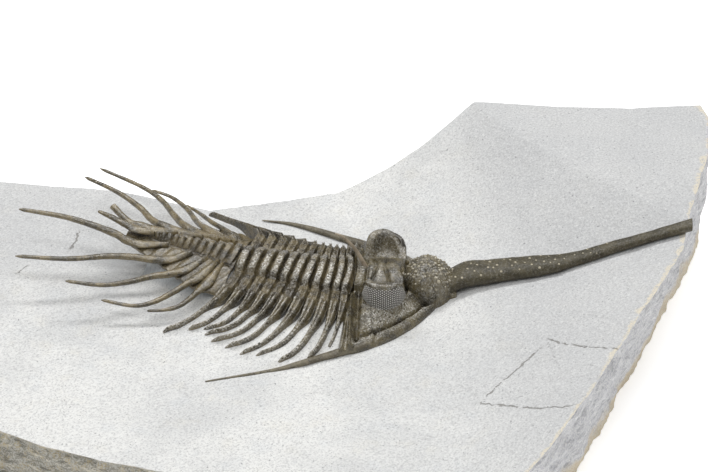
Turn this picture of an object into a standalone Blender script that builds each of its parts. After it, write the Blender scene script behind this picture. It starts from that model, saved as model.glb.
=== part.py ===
"""A long-spined trilobite fossil lying on its slab of limestone.

The animal lies along +X, head first, on a rock whose flat bottom is the ground.  The head
shield carries a long spine on its snout, and it is one piece with its cheek spines and its
neck spine.  Two lens banks sit in the head shield, eleven thorax segments follow it, and the
tail shield with its fan of raised spines ends the body.

Sizes are in millimetres and become metres when a mesh is made.  Two frames are used:
  body frame   s forward along the midline from the back of the head, t towards the animal's
               right, h up from the rock;
  slab frame   x, y, z with the origin on the rock beside the head.
"""
import bpy
import bmesh
import numpy as np

MM = 0.001

# Slab
SLAB_MIDDLE = (-4.04, -31.6, -12.0)
PLATEAU = 16.0
RAMP_POWER = 1.1
# How far the foot of each side stands in from its rim; on the right it changes with y, (y, mm)
UNDERCUT = 0.5
UNDERCUT_RIGHT = ((-94, 0.5), (-55, 1.5), (-44, 3), (-37, 4.1), (-24.5, 4.8), (-11, 2.7), (5, 0.6))
FAR_EDGE = ((-88, 24), (-66, 20.7), (-52, 18.2), (-42, 14), (-32, 10.8), (-20.5, 13), (-3, 17.7),
            (2, 19), (9, 21), (15, 23.5), (20.5, 26.5), (27, 31), (46, 28.2), (62, 27.7), (78, 29))
NEAR_EDGE = ((-79, -62), (-67, -67.5), (-59, -72), (-47, -76.5), (-34, -80), (-14, -85),
             (4, -90), (22, -94))
LEFT_EDGE = ((-79, -62), (-84, -48), (-88, -25), (-86, 2), (-88, 24))
RIGHT_EDGE = ((22, -94), (29, -88), (36, -80), (43, -69), (50.5, -55), (56.5, -44), (61, -37),
              (67.3, -24.5), (71, -11), (76, 5), (80, 18), (78, 29))
SLAB_CELLS = (40, 26)
# Where the ramp of the rock starts and ends, (y, x), and its height along the snout spine, (x, z)
RAMP_FOOT = ((-80, 18), (-22, 11), (17.7, -4), (24, -8), (31, -13))
RAMP_TOP = ((-80, 60), (-50, 76), (-19, 71), (0, 50), (20, 33), (31, 27))
SNOUT_ROCK = ((8, 0), (14, 0.6), (18, 1.5), (21, 2.6), (25, 3.9), (30, 4.7), (36, 5.1), (42, 5.8),
              (48, 7.5), (55, 9.8), (63, 12), (70, 13.7), (80, 15))

# Body
HEAD_AT = (0.6, -22.9)
HEAD_YAW = np.radians(-2.5)
TAIL_YAW = np.radians(-17.0)
BEND_LENGTH = 14.0
MOUND = 2.4
CLEARANCE = 0.5

# Head shield
HEAD_LENGTH = 20.6
HEAD_CELLS = (22, 32)
HEAD_FLOOR = 0.6
LOBE_CENTRE = (15.0, 4.35)
LOBE_RADIUS = 5.3
GLABELLA_WIDTH = 5.2
TRUNK_END = 9.6
CREST = 7.9
FURROW = 5.4
LOBE_RELIEF = 0.5
LOBE_PITCH = 3.05
CHEEK_CREST = 4.9
CHEEK_REACH = 22.0
EYE_AT = (5.8, 7.0)
EYE_SIZE = (4.2, 4.3)
EYE_LOW, EYE_HIGH = 4.9, 9.3
EYE_HOLLOW = 3.6
INNER_SHARE = 0.8
EYE_SWEEP = np.radians(82.0)
SNOUT_SPINE_TIP = 68.7
SNOUT_SPINE_DRIFT = 7.2

# Thorax
SEGMENTS = 11
# For each right rib: its reach from the midline, how far its tip falls back, and how straight it
# runs there, from 0 for a sickle to 1
RIGHT_REACH = (19.4, 21.6, 25.7, 25.0, 25.4, 24.0, 22.8, 21.0, 19.6, 20.4, 21.8)
RIGHT_SWEEP = (2.8, 3.1, 4.9, 6.3, 7.6, 9.0, 10.2, 9.9, 8.2, 8.7, 9.7)
RIGHT_STRAIGHT = (1.0, 0.6, 0.4, 0.0, 0.0, 0.0, 0.0, 0.0, 0.0, 0.4, 0.8)
AXIS_WIDTH = 6.3
SHOULDER = 9.0
JOINT_GAP = 0.35

# Tail shield: its half width (s, t), and where each spine leaves the axis, passes the margin
# and ends (s, t, h)
TAIL_START, TAIL_END = -24.85, -50.0
TAIL_MARGIN = ((-50, 2.2), (-48, 3.6), (-44, 5.4), (-40, 7.2), (-36, 9.4), (-32, 10.8), (-28, 11.4),
               (-24, 10.4))
RIGHT_SPINES = (
    ((-27.4, 4, 6.8), (-29.8, 12.2, 4.6), (-32.3, 16, 3), (-34.8, 18.2, 2.8), (-38, 20.2, 3.2)),
    ((-28.5, 3.8, 7.0), (-32.3, 11, 5.4), (-34.8, 14.3, 4.4), (-37.5, 18, 4), (-41, 20.4, 4),
     (-47.5, 21.3, 4.7)),
    ((-31, 3.4, 7.2), (-35.9, 9.3, 6), (-39.9, 12, 6), (-43.8, 15.7, 6.2), (-48.5, 19, 6.7),
     (-55.1, 21.5, 8)),
    ((-34.5, 3, 7.5), (-40.2, 7, 6.9), (-45.5, 8.3, 7.3), (-50.6, 10, 7.6), (-58, 14.2, 8.2),
     (-67.8, 17.7, 9.2)),
    ((-40, 2.4, 8), (-47.8, 3.8, 7.9), (-51.5, 3.8, 9.2), (-57, 4.2, 10.8), (-63, 4.8, 12),
     (-71.9, 6.3, 13)),
)
LEFT_SPINES = (
    ((-27.4, -4, 6.8), (-31, -9, 5.4), (-36.3, -13, 4.6), (-41, -17.5, 3.4), (-45.1, -20.2, 3)),
    ((-28.5, -3.8, 7), (-35.5, -8, 6.2), (-39, -11.5, 5), (-43.4, -16.7, 4.4), (-48.3, -20.2, 4.4),
     (-53.2, -20.9, 5)),
    ((-31, -3.4, 7.2), (-39.5, -7, 6.4), (-44, -11, 6), (-49, -16, 6.1), (-55, -19.2, 6.6),
     (-65.8, -21.6, 8)),
    ((-34.5, -3, 7.5), (-43.6, -4.8, 7.2), (-47.5, -6.6, 7.1), (-51.5, -9.8, 7.5), (-58, -12.8, 8.5),
     (-66.4, -15.1, 9.4)),
    ((-40, -2.4, 8), (-47.5, -2, 8.2), (-51, -2.2, 8.7), (-55.2, -4.2, 10.5)),
)
MEDIAN_SPINE = ((-44, 0.4, 8.8), (-49.8, 0.8, 9.8), (-53.5, 0.6, 11), (-56.4, 0.7, 12))


def smooth(q):
    """0 below q = 0, 1 above q = 1, and level at both ends."""
    q = np.clip(q, 0.0, 1.0)
    return q * q * (3.0 - 2.0 * q)


def yaw(s):
    return HEAD_YAW + (TAIL_YAW - HEAD_YAW) * smooth(-s / BEND_LENGTH)


# The midline: the heading is summed up along the body, from the back of the head
STATIONS = np.linspace(-95.0, 95.0, 1901)
STEP = STATIONS[1] - STATIONS[0]
HEADINGS = yaw(STATIONS)
MIDLINE_X = np.cumsum(np.cos(HEADINGS)) * STEP
MIDLINE_Y = np.cumsum(np.sin(HEADINGS)) * STEP
MIDLINE_X += HEAD_AT[0] - np.interp(0.0, STATIONS, MIDLINE_X)
MIDLINE_Y += HEAD_AT[1] - np.interp(0.0, STATIONS, MIDLINE_Y)


def on_slab(s, t, h, bend=True):
    """Slab frame points of body frame points; a stiff piece is carried by the head's heading."""
    s, t, h = np.broadcast_arrays(np.asarray(s, float), t, h)
    if not bend:
        x = HEAD_AT[0] + s * np.cos(HEAD_YAW) + t * np.sin(HEAD_YAW)
        y = HEAD_AT[1] + s * np.sin(HEAD_YAW) - t * np.cos(HEAD_YAW)
        return np.stack([x, y, h], -1)
    a = yaw(s)
    x = np.interp(s, STATIONS, MIDLINE_X) + t * np.sin(a)
    y = np.interp(s, STATIONS, MIDLINE_Y) - t * np.cos(a)
    return np.stack([x, y, h], -1)


def on_body(x, y):
    """The body frame s and t of slab frame points."""
    s = np.asarray(x, float) - HEAD_AT[0]
    for _ in range(8):
        a = yaw(s)
        along_x = x - np.interp(s, STATIONS, MIDLINE_X)
        along_y = y - np.interp(s, STATIONS, MIDLINE_Y)
        t = along_x * np.sin(a) - along_y * np.cos(a)
        s = s + along_x * np.cos(a) + along_y * np.sin(a)
    return s, t


def ramp_height(x, y):
    foot = np.interp(y, *zip(*RAMP_FOOT))
    top = np.interp(y, *zip(*RAMP_TOP))
    rise = np.clip((x - foot) / (top - foot), 0.0, None)
    level = 1.03 - 0.03 * np.exp(-8.0 * np.clip(rise - 1.0, 0.0, None))
    return PLATEAU * np.minimum(rise ** RAMP_POWER, level)


def rock(x, y):
    """Height of the rock: level on the left, rising to a plateau past the snout, with a low
    mound that carries the thorax and the tail."""
    ramp = ramp_height(x, y)
    beside = np.exp(-((y + 22.0) / 12.0) ** 2) * smooth((x - 6.0) / 4.0)
    ramp = ramp + beside * (np.interp(x, *zip(*SNOUT_ROCK)) - ramp_height(x, -22.0))
    s, t = on_body(x, y)
    width = 19.0 - 6.0 * smooth((-s - 24.0) / 18.0)
    across = 1.0 - smooth((np.abs(t) - 0.35 * width) / (0.65 * width))
    along = smooth((-s - 1.0) / 14.0) * (1.0 - smooth((-s - 34.0) / 14.0))
    return ramp + MOUND * across * along


def to_part(points):
    """Metres in the part's frame: its origin is under the middle of the slab."""
    return (np.asarray(points, float) - SLAB_MIDDLE) * MM


def make_collection(name):
    collection = bpy.data.collections.new(name)
    bpy.context.scene.collection.children.link(collection)
    return collection


def make_material(name, colour, roughness):
    material = bpy.data.materials.new(name)
    material.use_nodes = True
    shader = material.node_tree.nodes["Principled BSDF"]
    shader.inputs["Base Color"].default_value = (*colour, 1.0)
    shader.inputs["Roughness"].default_value = roughness
    shader.inputs["Metallic"].default_value = 0.0
    return material


def add_object(name, mesh, collection, colour=None, roughness=0.5):
    piece = bpy.data.objects.new(name, mesh)
    collection.objects.link(piece)
    if colour:
        mesh.materials.append(make_material(name, colour, roughness))
    else:
        piece.hide_render = True
        piece.display_type = "WIRE"
    return piece


def finish_mesh(bm, name):
    bmesh.ops.recalc_face_normals(bm, faces=bm.faces)
    mesh = bpy.data.meshes.new(name)
    bm.to_mesh(mesh)
    bm.free()
    mesh.shade_smooth()
    mesh.set_sharp_from_angle(angle=np.radians(50.0))
    return mesh


def loft(name, rings, wide_ends=False):
    """A closed solid through a row of unlike rings; rings is an array (ring, point, xyz).
    Wide ends, whose ring is an upper row and then a lower one, are closed like a ladder."""
    bm = bmesh.new()
    rows = [[bm.verts.new(p) for p in ring] for ring in to_part(rings)]
    count = len(rows[0])
    for low, high in zip(rows, rows[1:]):
        for k in range(count):
            n = (k + 1) % count
            bm.faces.new((low[k], low[n], high[n], high[k]))
    for end in (rows[0][::-1], rows[-1]):
        if not wide_ends:
            bm.faces.new(end)
            continue
        for k in range(count // 2 - 1):
            bm.faces.new((end[k], end[k + 1], end[count - 2 - k], end[count - 1 - k]))
    return finish_mesh(bm, name)


def spline_through(points, count):
    """Points evenly spread on a smooth curve through a few given ones (Catmull-Rom)."""
    p = np.asarray(points, float)
    p = np.vstack([2 * p[0] - p[1], p, 2 * p[-1] - p[-2]])
    where = np.linspace(0.0, len(points) - 1.0001, count)
    i = where.astype(int)
    u = (where - i)[:, None]
    a, b, c, d = p[i], p[i + 1], p[i + 2], p[i + 3]
    return 0.5 * (2 * b + (c - a) * u + (2 * a - 5 * b + 4 * c - d) * u ** 2
                  + (3 * b - a - 3 * c + d) * u ** 3)


def spine_rod(name, centres, radii, collection):
    """A round tapering rod, made as a curve with a bevel and then a closed mesh."""
    curve = bpy.data.curves.new(name, "CURVE")
    curve.dimensions = "3D"
    curve.bevel_depth = MM
    curve.bevel_resolution = 1
    curve.use_fill_caps = True
    line = curve.splines.new("POLY")
    line.points.add(len(centres) - 1)
    for point, place, radius in zip(line.points, to_part(centres), radii):
        point.co = (*place, 1.0)
        point.radius = radius
    guide = bpy.data.objects.new(name, curve)
    collection.objects.link(guide)
    evaluated = guide.evaluated_get(bpy.context.evaluated_depsgraph_get())
    mesh = bpy.data.meshes.new_from_object(evaluated)
    bpy.data.objects.remove(guide)
    bpy.data.curves.remove(curve)
    bm = bmesh.new()
    bm.from_mesh(mesh)
    bmesh.ops.remove_doubles(bm, verts=bm.verts, dist=0.00001)
    bpy.data.meshes.remove(mesh)
    return add_object(name, finish_mesh(bm, name), collection)


def combine(piece, others, operation="UNION"):
    for other in others:
        modifier = piece.modifiers.new(other.name, "BOOLEAN")
        modifier.operation = operation
        modifier.object = other
        modifier.solver = "EXACT"


# Slab

def along_edge(edge, where):
    """Points at even shares of an edge's length."""
    p = np.asarray(edge, float)
    run = np.concatenate([[0.0], np.cumsum(np.hypot(*np.diff(p, axis=0).T))])
    run /= run[-1]
    return np.stack([np.interp(where, run, p[:, k]) for k in (0, 1)], -1)


def slab_plan(u, v):
    """A place in the slab's outline, blended from its four edges (a Coons patch)."""
    near, far = along_edge(NEAR_EDGE, u), along_edge(FAR_EDGE, u)
    left, right = along_edge(LEFT_EDGE, v), along_edge(RIGHT_EDGE, v)
    u, v = u[:, None], v[:, None]
    corners = ((1 - u) * (1 - v) * NEAR_EDGE[0] + u * (1 - v) * NEAR_EDGE[-1]
               + (1 - u) * v * FAR_EDGE[0] + u * v * FAR_EDGE[-1])
    return (1 - v) * near + v * far + (1 - u) * left + u * right - corners


def build_slab(collection):
    bm = bmesh.new()
    bmesh.ops.create_grid(bm, x_segments=SLAB_CELLS[0], y_segments=SLAB_CELLS[1], size=0.5)
    flat = np.array([v.co for v in bm.verts])
    plan = slab_plan(np.clip(flat[:, 0] + 0.5, 0, 1), np.clip(flat[:, 1] + 0.5, 0, 1))
    top = to_part(np.column_stack([plan, rock(plan[:, 0], plan[:, 1])]))
    for vertex, place in zip(bm.verts, top):
        vertex.co = place
    rim = [e for e in bm.edges if e.is_boundary]
    for height_kept, inset in ((0.55, 0.2), (0.0, 1.0)):
        made = bmesh.ops.extrude_edge_only(bm, edges=rim)["geom"]
        for vertex in (g for g in made if isinstance(g, bmesh.types.BMVert)):
            x, y = vertex.co[:2]
            right_side = x > 0 and y > -x and y < 0.8 * x
            depth = np.interp(y / MM + SLAB_MIDDLE[1], *zip(*UNDERCUT_RIGHT)) if right_side else UNDERCUT
            shrink = 1.0 - depth * inset * MM / np.hypot(x, y)
            vertex.co = (x * shrink, y * shrink, vertex.co.z * height_kept)
        rim = [g for g in made if isinstance(g, bmesh.types.BMEdge) and g.is_boundary]
    bmesh.ops.holes_fill(bm, edges=rim)
    return add_object("matrix_slab", finish_mesh(bm, "matrix_slab"), collection,
                      (0.62, 0.62, 0.60), 0.9)


# Shapes that the head and the thorax share

def pleura_height(t, reach, tip):
    """The side of a segment: level to the shoulder, then down to the tip's height."""
    return 6.1 - (6.1 - tip) * smooth((np.abs(t) - SHOULDER) / (reach - SHOULDER))


def backward_sweep(t, width, reach, tip_sweep, straight=1.0, fall=0.5):
    """How far a ring falls back from the midline to its sides, and on to its tip: a blend of a
    quarter of an oval, which curls round like a sickle, and a straighter power curve."""
    a = np.abs(t)
    outer = 0.97 * np.clip((a - SHOULDER) / (reach - SHOULDER), 0.0, 1.0)
    curl = (1 - np.sqrt(1 - outer ** 2)) / 0.757
    return (fall * np.clip(a / width, 0, 1) ** 2
            + (tip_sweep - fall) * ((1 - straight) * curl + straight * outer ** 1.6))


# Head shield

def head_edge(s):
    """Half the head shield's width; it narrows to the snout."""
    lobe = LOBE_RADIUS * np.sqrt(np.clip(1 - ((s - LOBE_CENTRE[0]) / LOBE_RADIUS) ** 2, 0, 1))
    return np.maximum.reduce([20.2 - 0.42 * s - 0.029 * s ** 2, lobe + 0.3, 3.4 + 0 * s])


def cheek_height(s, t, ground):
    """A rolled border with a steep cheek inside it."""
    edge = head_edge(s) - np.abs(t)
    border = ground + 0.7 + 1.3 * np.sqrt(np.clip(1 - ((edge - 1.3) / 1.35) ** 2, 0, 1))
    cheek = 0.6 * ground + np.minimum(1.2 + 0.95 * (edge - 2.6), CHEEK_CREST)
    return np.maximum(border, cheek)


def back_border(height, row, s, t):
    """The cheeks end in a ridge like a segment's, with a groove in front of it."""
    a = np.abs(t)
    ridge = pleura_height(t, CHEEK_REACH, 1.6) + 0.3
    share = 1.0 - smooth(row - 2.0)
    groove = np.exp(-((row - 3.0) / 0.6) ** 2) * smooth((a - 5.5) / 1.5)
    inside = smooth((head_edge(s) - a - 1.0) / 2.0)
    return height * (1 - share) + ridge * share - 0.9 * groove * inside


def add_glabella(height, row, s, t):
    """The raised middle: a lobed trunk between the eyes, and a ball of a lobe before it."""
    a = np.abs(t)
    arch = np.sqrt(np.clip(1 - (a / GLABELLA_WIDTH) ** 2, 0, 1))
    lobes = LOBE_RELIEF * np.cos(2 * np.pi * (row - 1.1) / LOBE_PITCH)
    trunk = FURROW + (CREST - FURROW + lobes) * arch
    share = 1.0 - smooth((row - TRUNK_END) / 1.2)
    saddle = np.minimum(height, 4.0)
    middle = np.maximum(np.maximum(height * (1 - share), trunk * share), saddle)
    height = np.where(a < GLABELLA_WIDTH, middle, height)
    ball = LOBE_RADIUS ** 2 - (s - LOBE_CENTRE[0]) ** 2 - t ** 2
    lobe = LOBE_CENTRE[1] + np.sqrt(np.clip(ball, 0, None))
    return np.where(ball > 0, np.maximum(height, lobe), height)


def add_eye_mounts(height, s, t):
    """A turret at each side, high outside, open towards the glabella, and hollow on top."""
    forward = (s - EYE_AT[0]) / EYE_SIZE[0]
    outward = (np.abs(t) - EYE_AT[1]) / EYE_SIZE[1]
    reach = np.hypot(forward, outward)
    facing = np.degrees(np.arctan2(np.abs(forward), outward))
    crown = 5.0 + 5.2 * (1 - smooth((facing - 75) / 60))
    hollow = crown - EYE_HOLLOW * (1 - smooth((reach - 0.4) / 0.32))
    turret = np.where(reach < 0.98, np.maximum(hollow, 5.2), 0.0)
    return np.maximum(height, turret)


def eye_rings(side, grow):
    """The lens bank as a crescent round the outer side of the eye. Its socket is grown by a
    margin, and by five of them on the outer side, which is open."""
    around = np.linspace(-EYE_SWEEP - 0.6 * grow / 4, EYE_SWEEP + 0.6 * grow / 4, 10)
    droop = 1 - np.cos(around)
    rings = []
    for share, height in ((INNER_SHARE, EYE_LOW - grow), (1.0, EYE_LOW + 0.7 * droop - grow),
                          (1.03, 0.5 * (EYE_LOW + EYE_HIGH) + 0 * droop),
                          (0.94, EYE_HIGH - droop + grow), (INNER_SHARE, EYE_HIGH - droop + grow)):
        k = share + (5 * grow if share > INNER_SHARE else -grow) / EYE_SIZE[0]
        s = EYE_AT[0] + EYE_SIZE[0] * k * np.sin(around)
        t = EYE_AT[1] + EYE_SIZE[1] * k * np.cos(around)
        rings.append(on_slab(s, side * t, height, bend=False))
    return np.stack(rings, 1)


def build_head(collection, tools):
    bm = bmesh.new()
    bmesh.ops.create_grid(bm, x_segments=HEAD_CELLS[0], y_segments=HEAD_CELLS[1], size=0.5)
    flat = np.array([v.co for v in bm.verts])
    row = 0.25 + (HEAD_LENGTH - 0.25) * (flat[:, 0] + 0.5)
    across = 2.0 * flat[:, 1]
    fade = 1.0 - smooth(row / 12.0)
    reach = head_edge(row)
    aside = np.abs(across * reach)
    back = 1.7 * np.clip(aside / AXIS_WIDTH, 0, 1) ** 2 + 0.3 * np.clip((aside - AXIS_WIDTH) / 3.0, 0, 1)
    s = row - fade * back
    t = across * head_edge(s)
    places = on_slab(s, t, 0.0, bend=False)
    ground = rock(places[:, 0], places[:, 1])
    height = back_border(cheek_height(s, t, ground), row, s, t)
    height = add_eye_mounts(add_glabella(height, row, s, t), s, t)
    places[:, 2] = np.maximum(height, ground + HEAD_FLOOR + 0.2)
    floors = to_part(np.column_stack([places[:, :2], ground + HEAD_FLOOR]))[:, 2]
    for vertex, place in zip(bm.verts, to_part(places)):
        vertex.co = place
    floor_under = {tuple(vertex.co[:2]): low for vertex, low in zip(bm.verts, floors)}
    rim = [e for e in bm.edges if e.is_boundary]
    made = bmesh.ops.extrude_edge_only(bm, edges=rim)["geom"]
    for vertex in (g for g in made if isinstance(g, bmesh.types.BMVert)):
        vertex.co.z = floor_under[tuple(vertex.co[:2])]
    rim = [g for g in made if isinstance(g, bmesh.types.BMEdge) and g.is_boundary]
    bmesh.ops.holes_fill(bm, edges=rim)
    head = add_object("cephalon", finish_mesh(bm, "cephalon"), collection, (0.10, 0.085, 0.05), 0.4)
    cutters = []
    for side, name in ((1, "right_eye"), (-1, "left_eye")):
        add_object(name, loft(name, eye_rings(side, 0.0)), collection, (0.22, 0.21, 0.18), 0.45)
        cutters.append(add_object(name + "_socket", loft(name + "_socket", eye_rings(side, 0.3)), tools))
    combine(head, cutters, "DIFFERENCE")
    combine(head, [snout_spine(tools), cheek_spine(1, tools), cheek_spine(-1, tools),
                   neck_spine(tools)])


def snout_spine(tools):
    """A long flattened blade that lies on the rock and rises with it."""
    s = np.linspace(13.5, SNOUT_SPINE_TIP, 15)
    t = -SNOUT_SPINE_DRIFT * np.clip(s - 19.0, 0, None) / (SNOUT_SPINE_TIP - 19.0)
    half_width = np.interp(s, (13, 22, 37, 45, 52, 60, 69), (3.2, 3.4, 2.8, 1.7, 1.45, 1.2, 1.25))
    half_height = np.interp(s, (13, 22, 37, 45, 52, 60, 69), (1.8, 1.9, 1.6, 1.2, 1.1, 0.95, 0.95))
    rings = []
    for k in range(8):
        angle = 2 * np.pi * (k + 0.5) / 8
        across = t + half_width * np.cos(angle)
        place = on_slab(s, across, 0.0, bend=False)
        ground = rock(place[:, 0], place[:, 1]) + CLEARANCE
        place[:, 2] = np.maximum(ground, ground + half_height * (0.9 + np.sin(angle)))
        rings.append(place)
    name = "snout_spine"
    return add_object(name, loft(name, np.stack(rings, 1)), tools)


def cheek_spine(side, tools):
    """The spine that each cheek sends back along the rock; the left one lost its tip."""
    end = (-28.4, 30.7, 0) if side > 0 else (-22.0, 28.2, 0)
    line = spline_through(((5.2, 15.6, 0), (0.5, 18.8, 0), (-4.2, 21.3, 0),
                           (-10.5, 24.6, 0), (-15.9, 26.9, 0), end), 11)
    width = np.interp(np.linspace(0, 1, 11), (0, 0.2, 0.6, 1), (0.5, 1.2, 0.8, 0.28))
    centres = on_slab(line[:, 0], side * line[:, 1], 0.0, bend=False)
    centres[:, 2] = rock(centres[:, 0], centres[:, 1]) + CLEARANCE + width
    return spine_rod("cheek_spine_" + ("right" if side > 0 else "left"), centres, width, tools)


def neck_spine(tools):
    """The thin spine that stands up from the neck ring and leans back."""
    line = spline_through(((2.0, 0.3, 6.8), (0.9, 0.2, 9.4), (-0.6, 0.0, 12.0), (-2.8, -0.2, 14.4),
                           (-4.4, -0.2, 15.2)), 8)
    centres = on_slab(line[:, 0], line[:, 1], line[:, 2], bend=False)
    return spine_rod("neck_spine", centres, np.linspace(0.75, 0.25, 8), tools)


# Thorax

def segment_pitch(number):
    """The segments are short behind the head and longer towards the tail."""
    return 1.75 + 0.085 * number


def segment_middle(number):
    return -1.05 - sum(segment_pitch(k) for k in range(1, number))


def build_segment(number, collection):
    middle = segment_middle(number)
    length = 0.5 * (segment_pitch(number) + segment_pitch(number - 1)) - JOINT_GAP
    width = AXIS_WIDTH - 0.09 * max(0.0, -middle - 2.0)
    right_reach = RIGHT_REACH[number - 1]
    left_reach = min(20.0, 15.2 + 0.25 * number + 3.0 * float(smooth((number - 7.5) / 3.0)))
    shares = np.array([0.0, 0.45, 0.8, 1.0])
    rings = []
    sides = []
    for side, reach in ((-1, left_reach), (1, right_reach)):
        outer = width + (reach - width) * np.array([0.14, 0.28, 0.42, 0.56, 0.7, 0.82, 0.93, 1.0])
        sides.append((side, reach, np.concatenate([width * shares, outer])))
    for side, reach, places in sides:
        t = side * places
        share = np.clip((places - SHOULDER) / (reach - SHOULDER), 0.0, 1.0)
        half = 0.5 * length * (1.0 - 0.45 * smooth(share / 0.35) - 0.42 * share)
        tip = 0.9 if side > 0 else 0.9 + 2.6 * float(smooth((number - 7.0) / 4.0))
        arch = np.sqrt(np.clip(1 - (places / width) ** 2, 0, 1))
        crown = np.where(places < width, 6.0 + 1.7 * arch, pleura_height(t, reach, tip))
        crown = crown - 0.35 * np.exp(-((places - width) / 0.5) ** 2)
        fall = max(0.5, 1.95 - 0.25 * number)
        tip_sweep = RIGHT_SWEEP[number - 1] if side > 0 else 2.0 + 0.85 * number
        straight = RIGHT_STRAIGHT[number - 1] if side > 0 else 1.0
        sweep = backward_sweep(t, width, reach, tip_sweep, straight, fall)
        turn = np.arctan(np.gradient(sweep, places)) * smooth((share - 0.1) / 0.3)
        ridge = 0.35 * (1 - 0.7 * share)
        bend_rows = []
        for along, up in ((1, 0), (0.1, 1), (-1, 0), (-1, -1), (1, -1)):
            s = middle - sweep + along * half * np.cos(turn)
            place = on_slab(s, t + side * along * half * np.sin(turn), 0.0)
            ground = rock(place[:, 0], place[:, 1]) + CLEARANCE
            if side < 0:
                ground = np.maximum(ground, crown - 1.6 - 30 * (1 - share) ** 4)
            place[:, 2] = ground if up < 0 else np.maximum(crown + ridge * up, ground + 0.3 + 0.1 * up)
            bend_rows.append(place)
        ring = np.stack(bend_rows, 1)
        rings.append(ring[::-1] if side < 0 else ring[1:])
    name = f"thorax_segment_{number:02d}"
    add_object(name, loft(name, np.concatenate(rings)), collection, (0.115, 0.095, 0.055), 0.35)


# Tail shield

def tail_axis_height(s):
    return 8.1 + 1.3 * (TAIL_START - s) / (TAIL_START - TAIL_END)


def tail_margin(s):
    """Half the tail shield's width, without its spines."""
    return np.interp(s, *zip(*TAIL_MARGIN))


def build_tail(collection, tools):
    s = np.linspace(TAIL_START, TAIL_END, 10)
    along = (TAIL_START - s) / (TAIL_START - TAIL_END)
    edge = tail_margin(s)
    shares = (-1.0, -0.75, -0.5, -0.25, 0.0, 0.25, 0.5, 0.75, 1.0)
    upper, lower = [], []
    for share in shares:
        t = share * edge
        place = on_slab(s - backward_sweep(t, 4.3, 20.0, 11.4) * (1 - smooth(along / 0.6)), t, 0.0)
        ground = rock(place[:, 0], place[:, 1]) + CLEARANCE
        top = tail_axis_height(s) - 1.4 - (3.0 - 2.4 * along) * share ** 2
        thick = 1.3 + 4.0 * (1 - smooth(along / 0.4))
        bottom = np.maximum(ground, top - thick)
        place[:, 2] = np.maximum(top, bottom + 0.5)
        upper.append(place)
        under = place.copy()
        under[:, 2] = bottom
        lower.append(under)
    rings = np.stack(upper + lower[::-1], 1)
    tail = add_object("pygidium", loft("pygidium", rings, True), collection, (0.115, 0.095, 0.055), 0.35)
    others = [tail_axis(tools)]
    for side, spines in (("right", RIGHT_SPINES), ("left", LEFT_SPINES)):
        for number, points in enumerate(spines, 1):
            line = spline_through(points, 10)
            thick = 0.62 + 0.09 * number
            radii = thick * np.interp(np.linspace(0, 1, 10), (0, 0.25, 0.5, 1), (0.6, 1.1, 0.9, 0.45))
            if side == "left" and number == 5:
                radii = thick * np.interp(np.linspace(0, 1, 10), (0, 0.3, 1), (0.6, 1.1, 0.9))
            centres = on_slab(line[:, 0], line[:, 1], line[:, 2])
            others.append(spine_rod(f"tail_spine_{side}_{number}", centres, radii, tools))
    line = spline_through(MEDIAN_SPINE, 6)
    others.append(spine_rod("tail_spine_median", on_slab(line[:, 0], line[:, 1], line[:, 2]),
                            np.linspace(1.0, 0.45, 6), tools))
    combine(tail, others)


def tail_axis(tools):
    """The ringed, tapering middle ridge of the tail shield."""
    s = np.linspace(TAIL_START - 0.05, TAIL_END + 0.5, 23)
    along = (TAIL_START - s) / (TAIL_START - TAIL_END)
    width = 4.3 - 2.7 * along
    relief = np.where(np.arange(23) % 2 == 1, 0.3, 0.0) * (1 - 0.6 * along)
    rings = []
    for angle in np.radians((0, 45, 90, 135, 180)):
        t = width * np.cos(angle)
        h = tail_axis_height(s) - 2.0 + (2.0 + relief) * np.sin(angle)
        rings.append(on_slab(s - 1.7 * np.cos(angle) ** 2 * (1 - along), t, h))
    name = "tail_axis"
    return add_object(name, loft(name, np.stack(rings, 1)), tools)


for old in list(bpy.data.objects):
    bpy.data.objects.remove(old, do_unlink=True)
fossil = make_collection("trilobite_on_slab")
workshop = make_collection("joined_shapes_and_cutters")
build_slab(fossil)
build_head(fossil, workshop)
for segment in range(1, SEGMENTS + 1):
    build_segment(segment, fossil)
build_tail(fossil, workshop)
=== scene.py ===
"""A long-spined trilobite on its limestone slab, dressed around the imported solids.

Sizes are in millimetres and become metres when a mesh is made. The slab frame has its origin on
the rock beside the head. The body frame follows the animal: s forward along its midline from the
back of the head, t towards its right side, and h up, which is the same height as on the slab.
"""
import bmesh
import bpy
import numpy as np
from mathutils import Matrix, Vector


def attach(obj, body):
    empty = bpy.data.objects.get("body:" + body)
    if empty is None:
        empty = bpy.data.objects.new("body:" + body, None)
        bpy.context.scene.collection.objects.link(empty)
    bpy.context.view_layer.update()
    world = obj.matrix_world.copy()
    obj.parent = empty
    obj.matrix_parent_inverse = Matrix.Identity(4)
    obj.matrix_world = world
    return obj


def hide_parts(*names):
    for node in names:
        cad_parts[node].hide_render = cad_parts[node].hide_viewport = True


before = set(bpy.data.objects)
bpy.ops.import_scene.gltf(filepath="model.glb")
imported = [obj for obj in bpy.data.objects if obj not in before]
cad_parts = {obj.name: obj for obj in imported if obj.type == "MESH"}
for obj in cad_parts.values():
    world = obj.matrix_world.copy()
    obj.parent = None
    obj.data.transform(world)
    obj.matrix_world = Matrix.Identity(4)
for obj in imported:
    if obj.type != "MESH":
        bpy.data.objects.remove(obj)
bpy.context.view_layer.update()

# The slab
# Pale grey limestone, broken out of the bed and left rough at the sides. Its top was cut down with
# small air tools to a flat left part, a low mound under the animal and a ramp past its snout. The
# shell stays fixed in it as it was found.

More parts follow.
